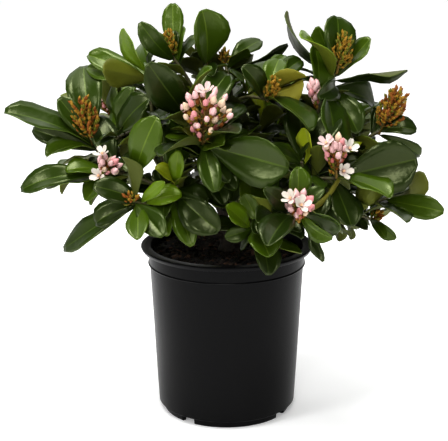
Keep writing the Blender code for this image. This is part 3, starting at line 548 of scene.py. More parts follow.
def grow_limbs(masses):
    """Lines and radii of the trunk and of one bough for each mass."""
    limbs = {"trunk": (trunk_line(), [r * MM for r in TRUNK_RADII])}
    waiting = list(masses)
    while waiting:
        name = waiting.pop(0)
        parent, share, shoots = masses[name]
        if parent not in limbs:
            waiting.append(name)
            continue
        line, radii = limbs[parent]
        start, _ = along(line, share)
        heart = sum((Vector(s[0]) * MM for s in shoots), Vector()) / len(shoots)
        from_trunk = parent == "trunk"
        reach = BOUGH_SHARE if from_trunk else BOUGH_SHARE - 0.10
        span = heart - start
        end = start + span * reach
        pull = start + Vector((span.x * 0.62, span.y * 0.62, span.z * 0.34)) * reach
        first = BOUGH_RADIUS if from_trunk else SIDE_BOUGH_RADIUS
        bough = bent_line(start, pull, end, LIMB_STEPS)
        limbs["bough_" + name] = (bough, tapered(first, BOUGH_TIP_RADIUS, LIMB_STEPS + 1))
    return limbs


def grow_twigs(name, shoots, bough):
    """One stem from the bough's tip, and the twigs that leave it, one to each shoot."""
    end = bough[-1]
    way = (bough[-1] - bough[-2]).normalized()
    start = end + way * GAP
    twigs = []
    stem = None
    for number, shoot in enumerate(shoots):
        tip = Vector(shoot[0]) * MM
        if number == 0:
            root, lead = start, way
            first = TWIG_RADIUS
        else:
            root, lead = along(stem, min(0.75, 0.22 + 0.22 * number))
            first = TWIG_RADIUS * 0.85
        span = (tip - root).length
        pull = root + lead * span * 0.45
        line = bent_line(root, pull, tip, TWIG_STEPS)
        if number == 0:
            # The first step is straight, so that the stem's foot is square to the bough's tip
            line.insert(1, root + way * 2 * MM)
            stem = line
        twigs.append((line, tapered(first, TWIG_TIP_RADIUS, len(line))))
    return twigs


masses = all_masses()
limbs = grow_limbs(masses)
print("limbs", len(limbs), "masses", len(masses))

# %% [markdown]
# ## Leaves in outline
# The leathery leaf is narrow at its foot and widest past the middle, arches back along its length
# and turns its upper face to the light. Growth is tried with a coarse leaf of few corners, and the
# fine leaf that shows is bent to the same line later.

# %% Leaf frame and coarse shape
def half_width(share):
    """Half width of the leaf blade along its length: narrow foot, widest past the middle."""
    blade = max(0.0, (share - PETIOLE + 0.02) / (1.02 - PETIOLE))
    return math.sin(math.pi * min(1.0, blade ** 1.2)) ** 0.72


def leaf_frame(base, bearing, rise, roll):
    """The way a leaf points and the way its upper face looks, turned to the light."""
    level = Vector((math.sin(bearing), -math.cos(bearing), 0.0))
    up = Vector((0.0, 0.0, 1.0))
    way = level * math.cos(rise) + up * math.sin(rise)
    inner = up * math.cos(rise) - level * math.sin(rise)
    outward = Vector((base.x, base.y, 0.0))
    if outward.length > MM:
        outward.normalize()
    face = inner * 0.7 + (up * 0.8 + outward * 0.6) * 0.8
    face = (face - way * face.dot(way)).normalized()
    side = way.cross(face)
    face = face * math.cos(roll) + side * math.sin(roll)
    return way, face


def leaf_shape(leaf, stations, grow=0.0):
    """Three-cornered rings along a recurved leaf, flat above and keeled below, to a point."""
    base, way, face, length, aspect, fold, curl = leaf
    side = way.cross(face)
    points = []
    for share in stations:
        angle = curl * (0.5 - share)
        ahead = length * (math.sin(curl / 2) - math.sin(angle)) / (2 * math.sin(curl / 2))
        lift = length * (math.cos(angle) - math.cos(curl / 2)) / (2 * math.sin(curl / 2))
        middle = base + way * ahead + face * lift
        over = face * math.cos(angle) - way * math.sin(angle)
        if share == 1.0:
            points.append(middle + way * grow)
            continue
        if share <= PETIOLE:
            wide, thick, lean = PETIOLE_RADIUS, PETIOLE_RADIUS, PETIOLE_KEEL
        else:
            wide = length * aspect / 2 * half_width(share)
            thick, lean = LEAF_KEEL, fold
        wide, thick = wide + grow, thick + grow
        edge_up = over * (wide * math.sin(lean) + grow)
        edge_out = side * (wide * math.cos(lean))
        points.append(middle - edge_out + edge_up)
        points.append(middle + edge_out + edge_up)
        points.append(middle - over * thick)
    rings = len(stations) - 1
    faces = [(0, 1, 2)]
    for ring in range(rings - 1):
        for k in range(3):
            a, b = ring * 3 + k, ring * 3 + (k + 1) % 3
            faces.append((a, a + 3, b + 3))
            faces.append((a, b + 3, b))
    last = (rings - 1) * 3
    faces += [(last + k, last + 3, last + (k + 1) % 3) for k in range(3)]
    return points, faces


# %% Coarse blossom, for trying room
def bud_head(foot, way, height, spread, plume, draw):
    """A cluster as one spiky head, drawn in to its stalk below: a dome, or a pointed plume."""
    bm = bmesh.new()
    level = 1 if spread < SMALL_HEAD else 2
    bmesh.ops.create_icosphere(bm, subdivisions=level, radius=1.0)
    side = way.orthogonal().normalized()
    other = way.cross(side)
    for vert in bm.verts:
        spike = level == 1 or len(vert.link_edges) == 5
        push = draw.uniform(0.88, 1.0) if spike else draw.uniform(0.50, 0.62)
        tall = vert.co.z * push
        narrow = 0.30 + 0.70 * min(1.0, (tall + 1.0) / 1.2)
        if plume and tall > 0:
            narrow *= 1 - PLUME_POINT * tall
        out = (side * vert.co.x + other * vert.co.y) * (push * narrow * spread / 2)
        vert.co = foot + out + way * (height * (0.5 + tall / 2))
    points = [v.co.copy() for v in bm.verts]
    faces = [tuple(v.index for v in f.verts) for f in bm.faces]
    bm.free()
    return points, faces


def star(root, tip, radius):
    """An open flower: five petals spread from a narrow funnel."""
    way = (tip - root).normalized()
    side = way.orthogonal().normalized()
    other = way.cross(side)
    points = [root]
    for k in range(10):
        turn = math.tau * k / 10
        wide = radius if k % 2 == 0 else radius * 0.5
        points.append(tip + (side * math.cos(turn) + other * math.sin(turn)) * wide)
    points.append(tip - way * (1.6 * MM))
    faces = []
    for k in range(10):
        a, b = 1 + k, 1 + (k + 1) % 10
        faces.append((0, b, a))
        faces.append((11, a, b))
    return points, faces


def head_way(line, lean):
    """The way a head of blossom points: upwards, a little after its twig, with its own lean."""
    way = (line[-1] - line[-2]).normalized() + Vector((0.0, 0.0, 2.0))
    way.x += 2.0 * math.tan(math.radians(lean))
    return way.normalized()


def blossom_pieces(tip, way, blossom, draw):
    """A head of buds round the end of a shoot and the open flowers that stand out of it."""
    kind, height, spread, _, flowers = blossom
    height, spread = height * MM, spread * MM
    foot = tip - way * (2.5 * MM)
    pieces = [bud_head(foot, way, height, spread, kind == "buds", draw)]
    heart = foot + way * height * 0.55
    front = Vector((0.0, -1.0, 0.35)).normalized()
    side = way.orthogonal().normalized()
    turn = draw.uniform(0, math.tau)
    for _ in range(flowers):
        turn += GOLDEN
        aim = front + (side * math.cos(turn) + way.cross(side) * math.sin(turn)) * 0.55
        aim.normalize()
        pieces.append(star(heart, heart + aim * (spread / 2 + 2 * MM), PETAL_REACH))
    return pieces


# %% [markdown]
# ## Keeping to its own space
# Each twig, head of blossom and leaf is tried against all that already stands: it may not come
# near another mass or a limb, leave the crown's reach, or close one of the gaps of open sky.

# %% What has grown so far
class Thicket:
    """What has grown so far, so that a new piece can be tried against it."""

    def __init__(self):
        self.pieces = []

    def add(self, owner, shape, guard=None, blade=None):
        """Keep a piece, the wider form that nothing may touch, and a leaf's blade."""
        trees = [BVHTree.FromPolygons(*form) if form else None for form in (shape, guard, blade)]
        middle, reach = ball(shape[0])
        self.pieces.append((owner, middle, reach, trees))

    def hits(self, owner, shape, guard, blade=None):
        """Whether a piece comes too near another mass, or its blade cuts one of its own."""
        body, wide, flat = (
            BVHTree.FromPolygons(*form) if form else None for form in (shape, guard, blade))
        middle, reach = ball(guard[0])
        for other, centre, far, (its_body, its_wide, its_flat) in self.pieces:
            if (centre - middle).length > reach + far:
                continue
            if other != owner:
                if wide.overlap(its_body) or (its_wide and body.overlap(its_wide)):
                    return True
            elif flat and its_flat and flat.overlap(its_flat):
                return True
        return False


def ball(points):
    """Middle and radius of a ball round some points."""
    middle = sum(points, Vector()) / len(points)
    return middle, max((p - middle).length for p in points)


def swollen(shape):
    """A piece with its points pushed away from its middle by the clearance."""
    points, faces = shape
    middle = ball(points)[0]
    return [p + (p - middle).normalized() * CLEAR for p in points], faces


def mesh_parts(mesh):
    """Points and faces of a mesh, for trying things against it."""
    return [v.co.copy() for v in mesh.vertices], [tuple(p.vertices) for p in mesh.polygons]


def within(points, low_ok):
    """Whether all points keep to the crown's reach."""
    for p in points:
        if not REACH_X[0] < p.x < REACH_X[1] or not REACH_Y[0] < p.y < REACH_Y[1]:
            return False
        if not REACH_Z[0] < p.z < REACH_Z[1]:
            return False
        if math.hypot(p.x, p.y) < RIM_RADIUS + 2 * MM and p.z < POT_HEIGHT + low_ok:
            return False
    return True


def in_shaft(points, heads):
    """Whether a leaf would close one of the crown's open shafts, or stand before a head."""
    for x, z, radius in SHAFTS:
        for p in points:
            if math.hypot(p.x - x * MM, p.z - z * MM + p.y * SHAFT_SLOPE) < radius * MM:
                return True
    for middle, reach in heads:
        for p in points:
            rise = (middle.y - p.y) * SHAFT_SLOPE
            if p.y < middle.y and math.hypot(p.x - middle.x, p.z - middle.z - rise) < reach * HEAD_VIEW:
                return True
    return False


# %% Coarse limb, for trying room
def baked(obj):
    """The mesh of an object with all its modifiers worked in."""
    graph = bpy.context.evaluated_depsgraph_get()
    mesh = bpy.data.meshes.new_from_object(obj.evaluated_get(graph))
    mesh.transform(obj.matrix_world)
    return mesh


def three_sided_section():
    """The outline of a slender twig, one unit in radius."""
    outline = bpy.data.curves.new("section", "CURVE")
    outline.dimensions = "2D"
    ring = outline.splines.new("POLY")
    ring.points.add(2)
    ring.use_cyclic_u = True
    for k, knot in enumerate(ring.points):
        turn = math.tau * k / 3
        knot.co = (math.cos(turn), math.sin(turn), 0.0, 1.0)
    section = bpy.data.objects.new("section", outline)
    bpy.context.scene.collection.objects.link(section)
    return section


def limb_mesh(line, radii, sides):
    """A round limb with a flat cap at both ends, from a curve with a bevel."""
    curve = bpy.data.curves.new("limb", "CURVE")
    curve.dimensions = "3D"
    section = None
    if sides == 3:
        section = three_sided_section()
        curve.bevel_mode = "OBJECT"
        curve.bevel_object = section
    else:
        curve.bevel_depth = 1.0
        curve.bevel_resolution = (sides - 4) // 2
    curve.use_fill_caps = True
    spline = curve.splines.new("POLY")
    spline.points.add(len(line) - 1)
    for knot, point, radius in zip(spline.points, line, radii):
        knot.co = (*point, 1.0)
        knot.radius = radius
    holder = bpy.data.objects.new("limb", curve)
    bpy.context.scene.collection.objects.link(holder)
    bpy.context.view_layer.update()
    mesh = baked(holder)
    bpy.data.objects.remove(holder)
    bpy.data.curves.remove(curve)
    if section:
        outline = section.data
        bpy.data.objects.remove(section)
        bpy.data.curves.remove(outline)
    bm = bmesh.new()
    bm.from_mesh(mesh)
    bmesh.ops.remove_doubles(bm, verts=bm.verts, dist=1e-6)
    bmesh.ops.recalc_face_normals(bm, faces=bm.faces)
    bm.to_mesh(mesh)
    bm.free()
    return mesh


# %% Leaves by name and by rule
def leaf_at(line, back):
    """The point that lies a distance back from a twig's tip."""
    for far, near in zip(line[-2::-1], line[:0:-1]):
        span = (near - far).length
        if back <= span:
            return near + (far - near) * (back / span)
        back -= span
    return line[0]


def show_leaf(line, index, entry, draw):
    """A leaf that stands out: its bearing, rise, length, roll and aspect are named."""
    bearing, rise, length, roll = entry[:4]
    aspect = entry[4] if len(entry) > 4 else LEAF_ASPECT + draw.uniform(-0.02, 0.04)
    base = leaf_at(line, LEAF_SPACING * (index + 1))
    way, face = leaf_frame(base, *(math.radians(a) for a in (bearing, rise, roll)))
    fold = LEAF_FOLD * draw.uniform(0.6, 1.3)
    curl = LEAF_CURL * draw.uniform(0.5, 1.5)
    if len(entry) > 5:
        curl = math.radians(entry[5])
    return (base, way, face, length * MM, aspect, fold, curl)


def fill_leaf(line, index, count, draw):
    """A leaf of the whorl by rule: steep and small at the tip, level and larger below."""
    share = index / max(1, count - 1)
    base = leaf_at(line, WHORL_START + WHORL_BACK * share ** 1.3)
    axis = (line[-1] - line[-2]).normalized() + Vector((0.0, 0.0, 0.7))
    axis.normalize()
    side = axis.orthogonal().normalized()
    other = axis.cross(side)
    turn = index * GOLDEN + draw.uniform(-0.25, 0.25)
    high, low = WHORL_RISE
    rise = math.radians(high + (low - high) * share + draw.uniform(-WHORL_WAVER, WHORL_WAVER))
    way = (side * math.cos(turn) + other * math.sin(turn)) * math.cos(rise)
    way = (way + axis * math.sin(rise)).normalized()
    size = 0.66 + 0.40 * math.sin(math.pi * (0.15 + 0.75 * share))
    length = LEAF_LENGTH * size * draw.uniform(0.86, 1.12)
    bearing = math.atan2(way.x, -way.y)
    lift = math.asin(max(-1.0, min(1.0, way.z)))
    roll = math.radians(draw.uniform(-WHORL_TWIST, WHORL_TWIST))
    way, face = leaf_frame(base, bearing, lift, roll)
    fold = LEAF_FOLD * draw.uniform(0.6, 1.3)
    curl = LEAF_CURL * draw.uniform(0.5, 1.6)
    return (base, way, face, length, LEAF_ASPECT + draw.uniform(-0.05, 0.03), fold, curl)


# %% [markdown]
# ## Growing the crown
# Twigs come first, then blossom, then the leaves that stand out, and last the whorls are filled
# up one leaf at a time in turn, so that no shoot takes all the room.

# %% Crown by the rule
def grow_crown(masses, limbs, thicket):
    """Twigs, blossom and leaves of every mass, each tried against what already stands."""
    crown = {name: {"twigs": [], "blossom": [], "leaves": [], "shoots": []} for name in masses}
    shoots, heads = [], []
    for name, (_, _, rows) in masses.items():
        for number, (line, radii) in enumerate(grow_twigs(name, rows, limbs["bough_" + name][0])):
            shape = mesh_parts(limb_mesh(line, radii, 3))
            if number and thicket.hits(name, shape, swollen(shape)):
                print("twig left out:", name, number)
                continue
            crown[name]["twigs"].append((line, radii))
            crown[name]["shoots"].append((number, line, rows[number]))
            thicket.add(name, shape)
            shoots.append((name, number, line, rows[number]))
    for name, number, line, row in shoots:
        if row[2]:
            draw = random.Random("blossom %s %d" % (name, number))
            way = head_way(line, row[2][3])
            for shape in blossom_pieces(line[-1], way, row[2], draw):
                if thicket.hits(name, shape, swollen(shape)):
                    print("blossom left out:", name, number)
                    continue
                crown[name]["blossom"].append((number, shape))
                if name in MASSES:
                    heads.append(ball(shape[0]))
                thicket.add(name, shape, swollen(shape))
    kept = {}
    for name, number, line, row in shoots:
        draw = random.Random("show %s %d" % (name, number))
        kept[name, number] = []
        for index, entry in enumerate(row[3]):
            leaf = show_leaf(line, index, entry, draw)
            for scale, nudge in ((1, 0), (1, 6), (1, -6), (0.93, 0), (0.93, 9), (0.93, -9), (0.86, 0)):
                changed = (entry[0] + nudge, entry[1] + abs(nudge) / 2, entry[2] * scale, *entry[3:])
                tried = show_leaf(line, index, changed, random.Random(index))
                tried = (*tried[:4], leaf[4], leaf[5], leaf[6])
                shape = leaf_shape(tried, FINE_LEAF)
                guard = leaf_shape(tried, FINE_LEAF, CLEAR)
                if within(guard[0], -4 * MM) and not thicket.hits(name, shape, guard):
                    break
            else:
                print("show leaf left out:", name, number, index)
                continue
            crown[name]["leaves"].append((number, index, tried))
            kept[name, number].append(tried)
            thicket.add(name, shape, guard, leaf_shape(tried, BLADE))
    most = max(row[1] for _, _, _, row in shoots) * 2 + 4
    draws = {(name, number): random.Random("fill %s %d" % (name, number))
             for name, number, _, _ in shoots}
    fills = dict.fromkeys(draws, 0)
    for index in range(most):
        for name, number, line, row in shoots:
            key = (name, number)
            tries = row[1] * 2 + 4
            if index >= tries:
                continue
            leaf = fill_leaf(line, index, tries, draws[key])
            if fills[key] >= row[1]:
                continue
            if any(leaf[1].angle(other[1]) < WHORL_APART for other in kept[key]):
                continue
            shape = leaf_shape(leaf, PLAIN_LEAF)
            guard = leaf_shape(leaf, PLAIN_LEAF, CLEAR)
            blade = leaf_shape(leaf, BLADE, CLEAR / 2)
            if not within(guard[0], 6 * MM) or in_shaft(leaf_shape(leaf, FINE_LEAF)[0], heads):
                continue
            if thicket.hits(name, shape, guard, blade):
                continue
            crown[name]["leaves"].append((number, 100 + index, leaf))
            kept[key].append(leaf)
            fills[key] += 1
            thicket.add(name, shape, guard, leaf_shape(leaf, BLADE))
    return crown, heads


thicket = Thicket()
for name in ("pot", "potting_mix"):
    thicket.add("pot", mesh_parts(nodes[name].data))
for name, (line, radii) in limbs.items():
    thicket.add(name, mesh_parts(limb_mesh(line, radii, LIMB_SIDES)))
crown, heads = grow_crown(masses, limbs, thicket)
print("leaves by the rule", sum(len(m["leaves"]) for m in crown.values()))

# %% [markdown]
# ## Finer growth
# A real shoot has more leaves than its solid: small new ones round the tip and older ones lower
# down the stem, deep in the crown. They grow by the same rule from points further back, smaller,
# and each is kept only where it has room and leaves the sky showing.

# %% Finer leaves
FINE_TRIES = 44
FINE_KEEP = 14


def inner_leaf(line, index, draw):
    """A leaf between the whorl and the foot of the twig, or a small one at the tip."""
    leaf = fill_leaf(line, index % 9, 10, draw)
    base, way, face, length, aspect, fold, curl = leaf
    if index % 3:
        back = draw.uniform(0.25, 0.95)
        base = along(line, 1 - back)[0]
        length *= draw.uniform(0.55, 0.85)
    else:
        length *= draw.uniform(0.35, 0.6)
    return (base, way, face, length, aspect, fold, curl)


for name, grown in crown.items():
    for number, line, row in grown["shoots"]:
        draw = random.Random("inner %s %d" % (name, number))
        kept = 0
        for index in range(FINE_TRIES):
            leaf = inner_leaf(line, index, draw)
            shape = leaf_shape(leaf, PLAIN_LEAF)
            guard = leaf_shape(leaf, PLAIN_LEAF, CLEAR)
            blade = leaf_shape(leaf, BLADE, CLEAR / 2)
            if kept >= FINE_KEEP or not within(guard[0], 4 * MM):
                continue
            if in_shaft(leaf_shape(leaf, FINE_LEAF)[0], heads):
                continue
            if thicket.hits(name, shape, guard, blade):
                continue
            grown["leaves"].append((number, 200 + index, leaf))
            thicket.add(name, shape, guard, leaf_shape(leaf, BLADE))
            kept += 1
print("leaves with finer growth", sum(len(m["leaves"]) for m in crown.values()))

# %% [markdown]
# ## One fine leaf
# The real leaf is thick and stiff, glossy above and dull and paler below, with a pale midrib. By
# hand it is a flat grid: the middle columns are drawn in to make the rib, each row is scaled to
# the outline, and Solidify gives it a second skin that takes its own finish. It is modelled once,
# flat and one unit long, then each copy is bent to the line that its coarse leaf had.

# %% Leaf modelled flat
def leaf_edge(share):
    """Half width along the leaf: wedge-shaped foot, widest past the middle, blunt round tip."""
    blade = max(0.0, (share - PETIOLE) / (1.0 - PETIOLE))
    return math.sin(math.pi * min(0.985, 0.02 + blade ** 1.60)) ** 0.52


LEAF_ROWS = (0.0, 0.07, 0.14, 0.23, 0.35, 0.49, 0.63, 0.76, 0.87, 0.95, 1.0)
LEAF_COLUMNS = 5
RIB_HALF = 0.022
LEAF_THICK = 0.010
start_clean()
bpy.ops.mesh.primitive_grid_add(x_subdivisions=LEAF_COLUMNS, y_subdivisions=len(LEAF_ROWS) - 1,
                                size=1.0, location=(0, 0.5, 0))
leaf_model = bpy.context.object
bpy.ops.object.transform_apply(location=True, rotation=False, scale=False)
bpy.ops.object.mode_set(mode="EDIT")
for column, target in ((0.1, RIB_HALF), (0.3, 0.30)):
    pick(leaf_model, lambda p: abs(abs(p.x) - column) < 0.01)
    bpy.ops.transform.resize(value=(target / column, 1, 1), center_override=(0, 0, 0))
for row, share in reversed(list(enumerate(LEAF_ROWS))):
    level = row / (len(LEAF_ROWS) - 1)
    pick(leaf_model, lambda p: abs(p.y - level) < 0.004)
    if share <= PETIOLE:
        wide = 0.030
    else:
        wide = max(0.02, leaf_edge(share))
    bpy.ops.transform.resize(value=(2 * wide, 1, 1), center_override=(0, level, 0))
bpy.ops.object.mode_set(mode="OBJECT")
for point in leaf_model.data.vertices:
    low = int(round(point.co.y * (len(LEAF_ROWS) - 1)))
    point.co.y = LEAF_ROWS[low]
rib = leaf_model.data.materials
for look in range(3):
    rib.append(bpy.data.materials.new("leaf part %d" % look))
for face in leaf_model.data.polygons:
    face.material_index = 1 if abs(face.center.x) < 0.01 else 0
skin = leaf_model.modifiers.new("skin", "SOLIDIFY")
skin.thickness = LEAF_THICK
skin.offset = -1.0
skin.material_offset = 2
# The rim between the two skins, the leaf's edge, takes the pale rib finish: a painted highlight along the
# margin
skin.material_offset_rim = 1
only(leaf_model)
bpy.ops.object.modifier_apply(modifier=skin.name)
leaf_flat = np.array([v.co[:] for v in leaf_model.data.vertices])
leaf_faces = [tuple(p.vertices) for p in leaf_model.data.polygons]
leaf_parts = [p.material_index for p in leaf_model.data.polygons]
leaf_parts = [min(part, 2) for part in leaf_parts]
print("leaf points", len(leaf_flat), "faces", len(leaf_faces), "parts", sorted(set(leaf_parts)))
bpy.data.objects.remove(leaf_model)

# %% Leaf bent to its line
FOLD_MORE = 7.5
TO_VIEWER = Vector((0.0, -0.97, 0.25))
LIGHT_WAY = np.array([-0.10, -0.75, 0.65])
LIGHT_TURN = math.radians(24)


def lit_face(way, face, turned):
    """The face of a leaf rolled a little on its rib, so that its glossy side looks to the light."""
    shown = face * turned
    most = LIGHT_TURN * min(1.0, max(0.0, (shown @ np.array(TO_VIEWER) - 0.45) * 2.5))
    angle = math.atan2(LIGHT_WAY @ np.cross(way, shown), LIGHT_WAY @ shown)
    angle = max(-most, min(most, angle))
    return face * math.cos(angle) + np.cross(way, face) * math.sin(angle)


def bent_leaf(leaf, turned, lit, draw):
    """The flat leaf bent, folded on its rib and set where its coarse leaf stood, either side up."""
    base, way, face, length, aspect, fold, curl = leaf
    way, face = np.array(way), np.array(face)
    if lit:
        face = lit_face(way, face, turned)
    side = np.cross(way, face)
    x, y, z = leaf_flat.T * np.array([[turned], [1], [turned]])
    wave = 0.05 * math.sin(draw.uniform(0, 6)) * np.sin(y * 9 + draw.uniform(0, 6))
    cup = draw.uniform(-0.01, 0.05)
    angle = curl * (0.5 - y)
    ahead = (math.sin(curl / 2) - np.sin(angle)) / (2 * math.sin(curl / 2))
    lift = (np.cos(angle) - math.cos(curl / 2)) / (2 * math.sin(curl / 2))
    over = np.outer(np.cos(angle), face) - np.outer(np.sin(angle), way)
    spread = x * aspect / 2
    raised = np.abs(spread) * math.sin(fold * FOLD_MORE) + wave * np.abs(x) + cup * x * x * aspect
    high = z + turned * raised
    twist = draw.uniform(-0.25, 0.25) * y
    across = spread * np.cos(twist)
    high = high + spread * np.sin(twist)
    points = np.outer(ahead, way) + np.outer(lift, face) + np.outer(across, side)
    points = points + over * high[:, None]
    return np.array(base) + points * length

# %% [markdown]
# ## Leaf finishes
# Old leaves are dark and glossy, young ones bright, and some show a dull olive back. Each green
# is three plain finishes: a glossy upper face, a paler rib that also edges the leaf as a painted highlight,
# and a dull back. The leaves that stand out have their green by name, a letter each in the order of the table
# of shoots, picked to how bright each leaf looks, so besides the leaf's own green a letter paints in light
# and shade. The others
# take theirs by spray: most leaves of a shoot share one, and the finer leaves take mostly the darker greens.

# %% Greens
GREENS = {
    "deep": ((0.0099, 0.0198, 0.0014), (0.030, 0.050, 0.005), (0.050, 0.060, 0.008)),
    "full": ((0.0171, 0.0342, 0.0016), (0.044, 0.075, 0.006), (0.066, 0.078, 0.009)),
    "mid": ((0.0360, 0.0666, 0.0018), (0.075, 0.118, 0.008), (0.088, 0.102, 0.010)),
    "bright": ((0.086, 0.146, 0.003), (0.125, 0.185, 0.010), (0.120, 0.145, 0.012)),
    "young": ((0.200, 0.235, 0.006), (0.250, 0.280, 0.015), (0.210, 0.230, 0.015)),
    "olive": ((0.055, 0.062, 0.003), (0.085, 0.092, 0.008), (0.076, 0.084, 0.006)),
    "khaki": ((0.130, 0.120, 0.006), (0.170, 0.160, 0.012), (0.170, 0.155, 0.014)),
    "lime": ((0.320, 0.380, 0.015), (0.360, 0.410, 0.030), (0.320, 0.370, 0.025)),
}
# Letters picked to each leaf's brightness: the leaf's own green plus painted light and shade
TINTS_WITH_PAINTED_LIGHT = {
    "top_left": ("mfmmf", "md"),
    "upper_left": ("bomm", "dfm"),
    "top": ("fmd", "mmfkdk"),
    "top_right": ("dmfmddfd", ""),
    "right": ("df", ""),
    "low_right": ("om", "mm"),
    "front_right": ("dfd", "ddld"),
    "low_front": ("mdfmd", "bfmmmm"),
    "front": ("foddf", "df"),
    "front_left": ("m", "bydm"),
    "low_left": ("ffmbdbd",),
    "left": ("fmm", "fffmd"),
}
green_finishes = {}
for green, (above, rib_and_edge_highlight, below) in GREENS.items():
    green_finishes[green] = [
        finish(green + " leaf face", above, 0.28),
        # The rib finish also covers every leaf's edge, where it is a painted highlight
        finish(green + " leaf rib and painted edge highlight", rib_and_edge_highlight, 0.36),
        finish(green + " leaf back", below, 0.55),
    ]
    for look in green_finishes[green]:
        shader = look.node_tree.nodes["Principled BSDF"]
        shader.inputs["Specular IOR Level"].default_value = 0.36
        shader.inputs["Specular Tint"].default_value = (0.92, 1.0, 0.55, 1.0)
        relief(look, 210.0, 0.0002, 1.0)
GREEN_DRAW = ("deep", "deep", "full", "full", "mid", "mid", "bright")
INNER_DRAW = ("deep", "deep", "deep", "full", "full", "mid")
order = list(GREENS)
by_letter = {green[0]: green for green in order}
leaf_slots = [look for green in order for look in green_finishes[green]]

# %% All leaves, one piece for each mass
for name, grown in crown.items():
    draw = random.Random("leaf look " + name)
    named = TINTS_WITH_PAINTED_LIGHT.get(name, ())
    points, faces, looks = [], [], []
    shoot_green = {}
    for number, index, leaf in grown["leaves"]:
        if number not in shoot_green:
            shoot_green[number] = draw.choice(GREEN_DRAW)
        green = shoot_green[number] if draw.random() < 0.6 else draw.choice(GREEN_DRAW)
        if draw.random() < 0.02:
            green = "young"
        if index >= 200:
            green = draw.choice(INNER_DRAW)
        elif index < 100 and number < len(named):
            # A named leaf's letter: its own green plus painted light and shade
            green = by_letter[named[number][index]]
        first = len(points)
        away = leaf[2].dot(TO_VIEWER) < 0
        dull = green in ("olive", "khaki")
        turned = -1 if away and index < 100 and not dull else 1
        lit = index < 100 and not dull
        points.extend(bent_leaf(leaf, turned, lit, draw))
        faces.extend(tuple(i + first for i in face) for face in leaf_faces)
        at = order.index(green) * 3
        looks.extend(at + part for part in leaf_parts)
    leaves = joined("leaves_" + name, points, faces, looks, leaf_slots, smooth=True)
    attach(leaves, "root")
    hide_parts("foliage_" + name)
print("leaf faces", sum(len(g["leaves"]) for g in crown.values()) * len(leaf_faces))

# %% [markdown]
# ## Trunk, boughs and twigs
# Woody stems are round and taper evenly, so each is a curve with a bevel whose radius shrinks
# along it. The trunk and boughs get bark relief from Displace with a cloud pattern, because the
# light catches it at the edge, where a painted bump would stay smooth.

# %% Stems as one curve, made a mesh
def stems(name, rows, sides, fine):
    """Many tapering stems as one mesh, from a curve with a round bevel."""
    curve = bpy.data.curves.new(name, "CURVE")
    curve.dimensions = "3D"
    curve.bevel_depth = 1.0
    curve.bevel_resolution = (sides - 4) // 2
    curve.use_fill_caps = True
    for line, radii in rows:
        steps = [min(len(line) - 1, i / fine) for i in range((len(line) - 1) * fine + 1)]
        spline = curve.splines.new("POLY")
        spline.points.add(len(steps) - 1)
        for knot, at in zip(spline.points, steps):
            low = min(int(at), len(line) - 2)
            part = at - low
            before = line[max(low - 1, 0)]
            after = line[min(low + 2, len(line) - 1)]
            a, b = line[low], line[low + 1]
            bend = (b - before) * 0.5 * part * (1 - part) ** 2 + (a - after) * 0.5 * part ** 2 * (1 - part)
            smooth = part * part * (3 - 2 * part)
            knot.co = (*(a + (b - a) * smooth + bend), 1.0)
            knot.radius = radii[low] + (radii[low + 1] - radii[low]) * part
    holder = bpy.data.objects.new(name, curve)
    bpy.context.scene.collection.objects.link(holder)
    only(holder)
    bpy.ops.object.convert(target="MESH")
    made = bpy.context.object
    faces_out(made)
    return made


# %% Woody frame with bark
woody = stems("trunk_and_boughs", list(limbs.values()), 14, 8)
bark_clouds = bpy.data.textures.new("bark clouds", "CLOUDS")
bark_clouds.noise_scale = 2.6 * MM
bark_clouds.noise_depth = 3
rough = only(woody).modifiers.new("rough", "DISPLACE")
rough.texture = bark_clouds
rough.texture_coords = "LOCAL"
rough.strength = 0.9 * MM
rough.mid_level = 0.5
bpy.ops.object.modifier_apply(modifier=rough.name)
bpy.ops.object.shade_smooth()
# The bark is very dark: its own grey brown, darkened further as painted shade so the trunk sinks into the
# shade inside the crown
bark_look_with_painted_shade = finish("grey brown bark with painted shade", (0.06, 0.042, 0.028), 0.8)
mottle(bark_look_with_painted_shade, relief(bark_look_with_painted_shade, 260.0, 0.0004), (0.016, 0.011, 0.008), (0.062, 0.044, 0.030))
woody.data.materials.append(bark_look_with_painted_shade)
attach(woody, "root")
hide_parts(*limbs)

# %% Twigs
twigs = stems("twigs", [twig for grown in crown.values() for twig in grown["twigs"]], 8, 5)
only(twigs)
bpy.ops.object.shade_smooth()
twig_look = finish("olive twig bark", (0.07, 0.062, 0.022), 0.6)
mottle(twig_look, relief(twig_look, 320.0, 0.0002), (0.045, 0.034, 0.014), (0.105, 0.105, 0.030))
twigs.data.materials.append(twig_look)
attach(twigs, "root")
print("stem faces", len(woody.data.polygons), "twig faces", len(twigs.data.polygons))

# %% [markdown]
# ## Blossom
# The shrub flowers in short branched heads. Each bud is a small pointed egg on a thin stalk, pink
# or still brown, and each open flower has five pale petals round a few stamens. A bud and a petal
# are modelled once and copied over the head that the rule set at the tip of its shoot.

# %% Bud modelled once
start_clean()
bpy.ops.mesh.primitive_uv_sphere_add(segments=6, ring_count=5, radius=1.0)
bud_model = bpy.context.object
bpy.ops.object.mode_set(mode="EDIT")
pick(bud_model, lambda p: p.z > 0.5)
bpy.ops.transform.resize(value=(0.62, 0.62, 1), center_override=(0, 0, 0))
pick(bud_model, lambda p: p.z < -0.5)
bpy.ops.transform.resize(value=(0.55, 0.55, 1), center_override=(0, 0, 0))
bpy.ops.object.mode_set(mode="OBJECT")
bud_points = np.array([v.co[:] for v in bud_model.data.vertices])
bud_faces = [tuple(p.vertices) for p in bud_model.data.polygons]
bud_cup = [p.center.z < -0.35 for p in bud_model.data.polygons]
bpy.data.objects.remove(bud_model)

